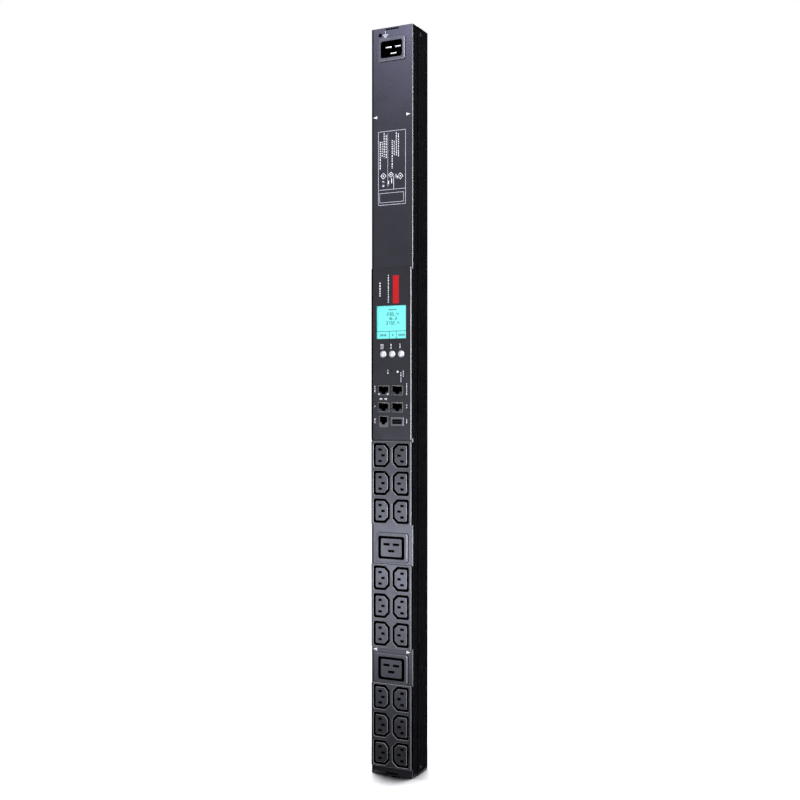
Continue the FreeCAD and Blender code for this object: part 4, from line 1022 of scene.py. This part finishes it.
def fit_side_screws():
    """Cross-recess screws in both sides at the two ends, each rolled to its own angle."""
    low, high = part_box("cover_screws")
    seat = high.x - HEAD_TOP * MM
    spots = []
    for side in (-1, 1):
        for z in (low.z + HEAD_RADIUS * MM, high.z - HEAD_RADIUS * MM):
            turn = (SCREW_ROLL * (1 + len(spots)), 0.0, 0.0 if side > 0 else math.pi)
            spots.append(((seat * side, 0.0, z), (1.0, 1.0, 1.0), turn))
    screw = pan_head()
    piece = set_copies("side_screws", copies_tree("set_screws", screw), spots, BLACK_SCREW)
    bpy.data.objects.remove(screw)
    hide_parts("cover_screws")


# Studio, in metres


SOFT_LIGHT = 0.45
FLOOR_GLOW = 0.55
FLOOR_REACH = 40.0

# The shade round the foot is found along a leaned normal, so it falls mostly on the camera's side.
SHADE_SAMPLES = 16
SHADE_REACH = 0.085
SHADE_LEAN = (-0.41, 0.84, 0.35)
SHADE_DARK = 0.44
SHADE_FAINT = 0.86


def seen_rays(owner):
    """1 for rays from the camera, in a reflection or through a clear piece, and 0 for the rest."""
    rays = owner.node_tree.nodes.new("ShaderNodeLightPath").outputs
    direct = work_out(owner, "MAXIMUM", rays["Is Camera Ray"], rays["Is Glossy Ray"])
    return work_out(owner, "MAXIMUM", direct, rays["Is Transmission Ray"])


def set_world():
    """White all round for the camera and for reflections, and an even soft light for the rest."""
    world = bpy.data.worlds.new("studio")
    bpy.context.scene.world = world
    world.use_nodes = True
    nodes = world.node_tree.nodes
    links = world.node_tree.links
    nodes.clear()
    mix = nodes.new("ShaderNodeMixShader")
    links.new(seen_rays(world), mix.inputs["Fac"])
    for socket, strength in ((1, SOFT_LIGHT), (2, 1.0)):
        light = nodes.new("ShaderNodeBackground")
        light.inputs["Color"].default_value = (1.0, 1.0, 1.0, 1.0)
        light.inputs["Strength"].default_value = strength
        links.new(light.outputs["Background"], mix.inputs[socket])
    result = nodes.new("ShaderNodeOutputWorld")
    links.new(mix.outputs["Shader"], result.inputs["Surface"])


def stage_plane(name, corners, finish):
    """A flat stage piece through four corners."""
    mesh = bpy.data.meshes.new(name)
    mesh.from_pydata(corners, [], [(0, 1, 2, 3)])
    mesh.materials.append(finish)
    piece = add_object(name, mesh)
    return piece


def set_floor():
    """A wide pale floor: white to the camera and in reflections, darker round the unit's foot."""
    finish, shader = new_finish("pale_floor", (0.9, 0.9, 0.9), 0.9, gloss=0.0)
    nodes = finish.node_tree.nodes
    links = finish.node_tree.links
    hidden = nodes.new("ShaderNodeAmbientOcclusion")
    hidden.samples = SHADE_SAMPLES
    hidden.inputs["Distance"].default_value = SHADE_REACH
    lean = nodes.new("ShaderNodeCombineXYZ")
    for socket, part in zip(lean.inputs, SHADE_LEAN):
        socket.default_value = part
    links.new(lean.outputs["Vector"], hidden.inputs["Normal"])
    shade = run_between(finish, hidden.outputs["AO"], SHADE_DARK, SHADE_FAINT)
    links.new(shade, shader.inputs["Base Color"])
    glow = nodes.new("ShaderNodeEmission")
    links.new(work_out(finish, "MULTIPLY", shade, FLOOR_GLOW), glow.inputs["Strength"])
    both = nodes.new("ShaderNodeAddShader")
    links.new(shader.outputs["BSDF"], both.inputs[0])
    links.new(glow.outputs["Emission"], both.inputs[1])
    choice = nodes.new("ShaderNodeMixShader")
    links.new(seen_rays(finish), choice.inputs["Fac"])
    links.new(shader.outputs["BSDF"], choice.inputs[1])
    links.new(both.outputs["Shader"], choice.inputs[2])
    links.new(choice.outputs["Shader"], nodes["Material Output"].inputs["Surface"])
    corners = [(across * FLOOR_REACH, along * FLOOR_REACH, 0)
               for across, along in ((-1, -1), (1, -1), (1, 1), (-1, 1))]
    stage_plane("floor", corners, finish)


CARD_LOW = 0.002
CARD_TALL = 2.0


def standing(start, end):
    """The corners of a card that stands between two spots on the floor."""
    return [(*start, CARD_LOW), (*end, CARD_LOW), (*end, CARD_TALL), (*start, CARD_TALL)]


def lying(*spots):
    """The corners of a card just above the floor."""
    return [(*spot, CARD_LOW) for spot in spots]


FLAGS = {
    "side_flag": standing((0.0, 1.0), (1.25, 0.4)),
    "side_floor_flag": lying((0.0292, -0.2), (1.25, 0.4), (-0.2, 1.1), (0.0292, 0.1)),
    "front_floor_flag": lying((-0.5, -0.48), (0.2, -0.48), (0.3, -0.0245), (-0.4, -0.0245)),
    "left_flag": standing((-0.9, 0.2), (-0.9, 1.2)),
}


def set_flags():
    """Dark cards, only in reflections, that keep the right side, left bevels and foot black."""
    finish = new_finish("dark_card", (0.002, 0.002, 0.002), 1.0, gloss=0.0)[0]
    for name, corners in FLAGS.items():
        card = stage_plane(name, corners, finish)
        card.visible_camera = False
        card.visible_diffuse = False
        card.visible_shadow = False


UNIT_MIDDLE = 0.457
GLINT = "edge_glint"

# A softbox is (name, azimuth in degrees, distance, height, width, length, radiance, tint).
SOFTBOXES = (
    ("upper_box", -13.0, 1.6, 1.66, 0.9, 0.5, 14.0, (0.78, 0.79, 1.0)),
    ("lower_box", -16.0, 0.95, 0.145, 0.6, 0.25, 9.0, (0.94, 1.0, 0.98)),
    ("edge_strip", 64.0, 1.5, 0.6, 0.5, 1.4, 6.0, (1.0, 1.0, 1.0)),
    ("top_box", 54.0, 0.83, 1.83, 0.6, 0.6, 14.0, (1.0, 1.0, 1.0)),
    (GLINT, 64.0, 1.45, 0.6, 0.36, 1.4, 18.0, (1.0, 1.0, 1.0)),
)


def round_unit(azimuth, distance):
    """The spot at an azimuth, in degrees, and a distance from the unit's axis."""
    angle = math.radians(azimuth)
    return math.sin(angle) * distance, -math.cos(angle) * distance


def set_lights():
    """Softboxes that face the unit: its front shows their pale bands and its bend a bright line."""
    for name, azimuth, distance, height, width, length, radiance, tint in SOFTBOXES:
        lamp = bpy.data.lights.new(name, "AREA")
        lamp.shape = "RECTANGLE"
        lamp.size = width
        lamp.size_y = length
        lamp.color = tint
        lamp.energy = radiance * math.pi * width * length
        box = add_object(name, lamp)
        box.location = (*round_unit(azimuth, distance), height)
        aim = Vector((0.0, 0.0, UNIT_MIDDLE)) - box.location
        box.rotation_euler = aim.to_track_quat("-Z", "Y").to_euler()
        box.visible_camera = False
        box.visible_diffuse = name != GLINT


SENSOR_WIDTH = 36.0
LENS = 49.87
CAMERA_AZIMUTH = 25.87
CAMERA_DISTANCE = 1.3707
CAMERA_SHIFT = (0.0008, -0.0005)
CAMERA_TILT = 90.055


def set_camera():
    """The photograph's view: a little to the right, level with the middle of the unit."""
    camera = bpy.data.cameras.new("camera")
    camera.sensor_width = SENSOR_WIDTH
    camera.lens = LENS
    holder = add_object("camera", camera)
    x, y = round_unit(CAMERA_AZIMUTH, CAMERA_DISTANCE)
    holder.location = (x + CAMERA_SHIFT[0], y + CAMERA_SHIFT[1], UNIT_MIDDLE)
    holder.rotation_euler = (math.radians(CAMERA_TILT), 0.0, math.radians(CAMERA_AZIMUTH))
    bpy.context.scene.camera = holder


dress_nodes()
print_rating_field()
print_earth_sign()
print_panel_labels()
print_screen_marks()
print_peg_arrows()
fit_link_lights()
fit_jack_contacts()
fit_buttons()
fit_side_screws()
set_world()
set_floor()
set_flags()
set_lights()
set_camera()
bpy.context.scene.view_settings.view_transform = "Standard"

bpy.context.view_layer.update()
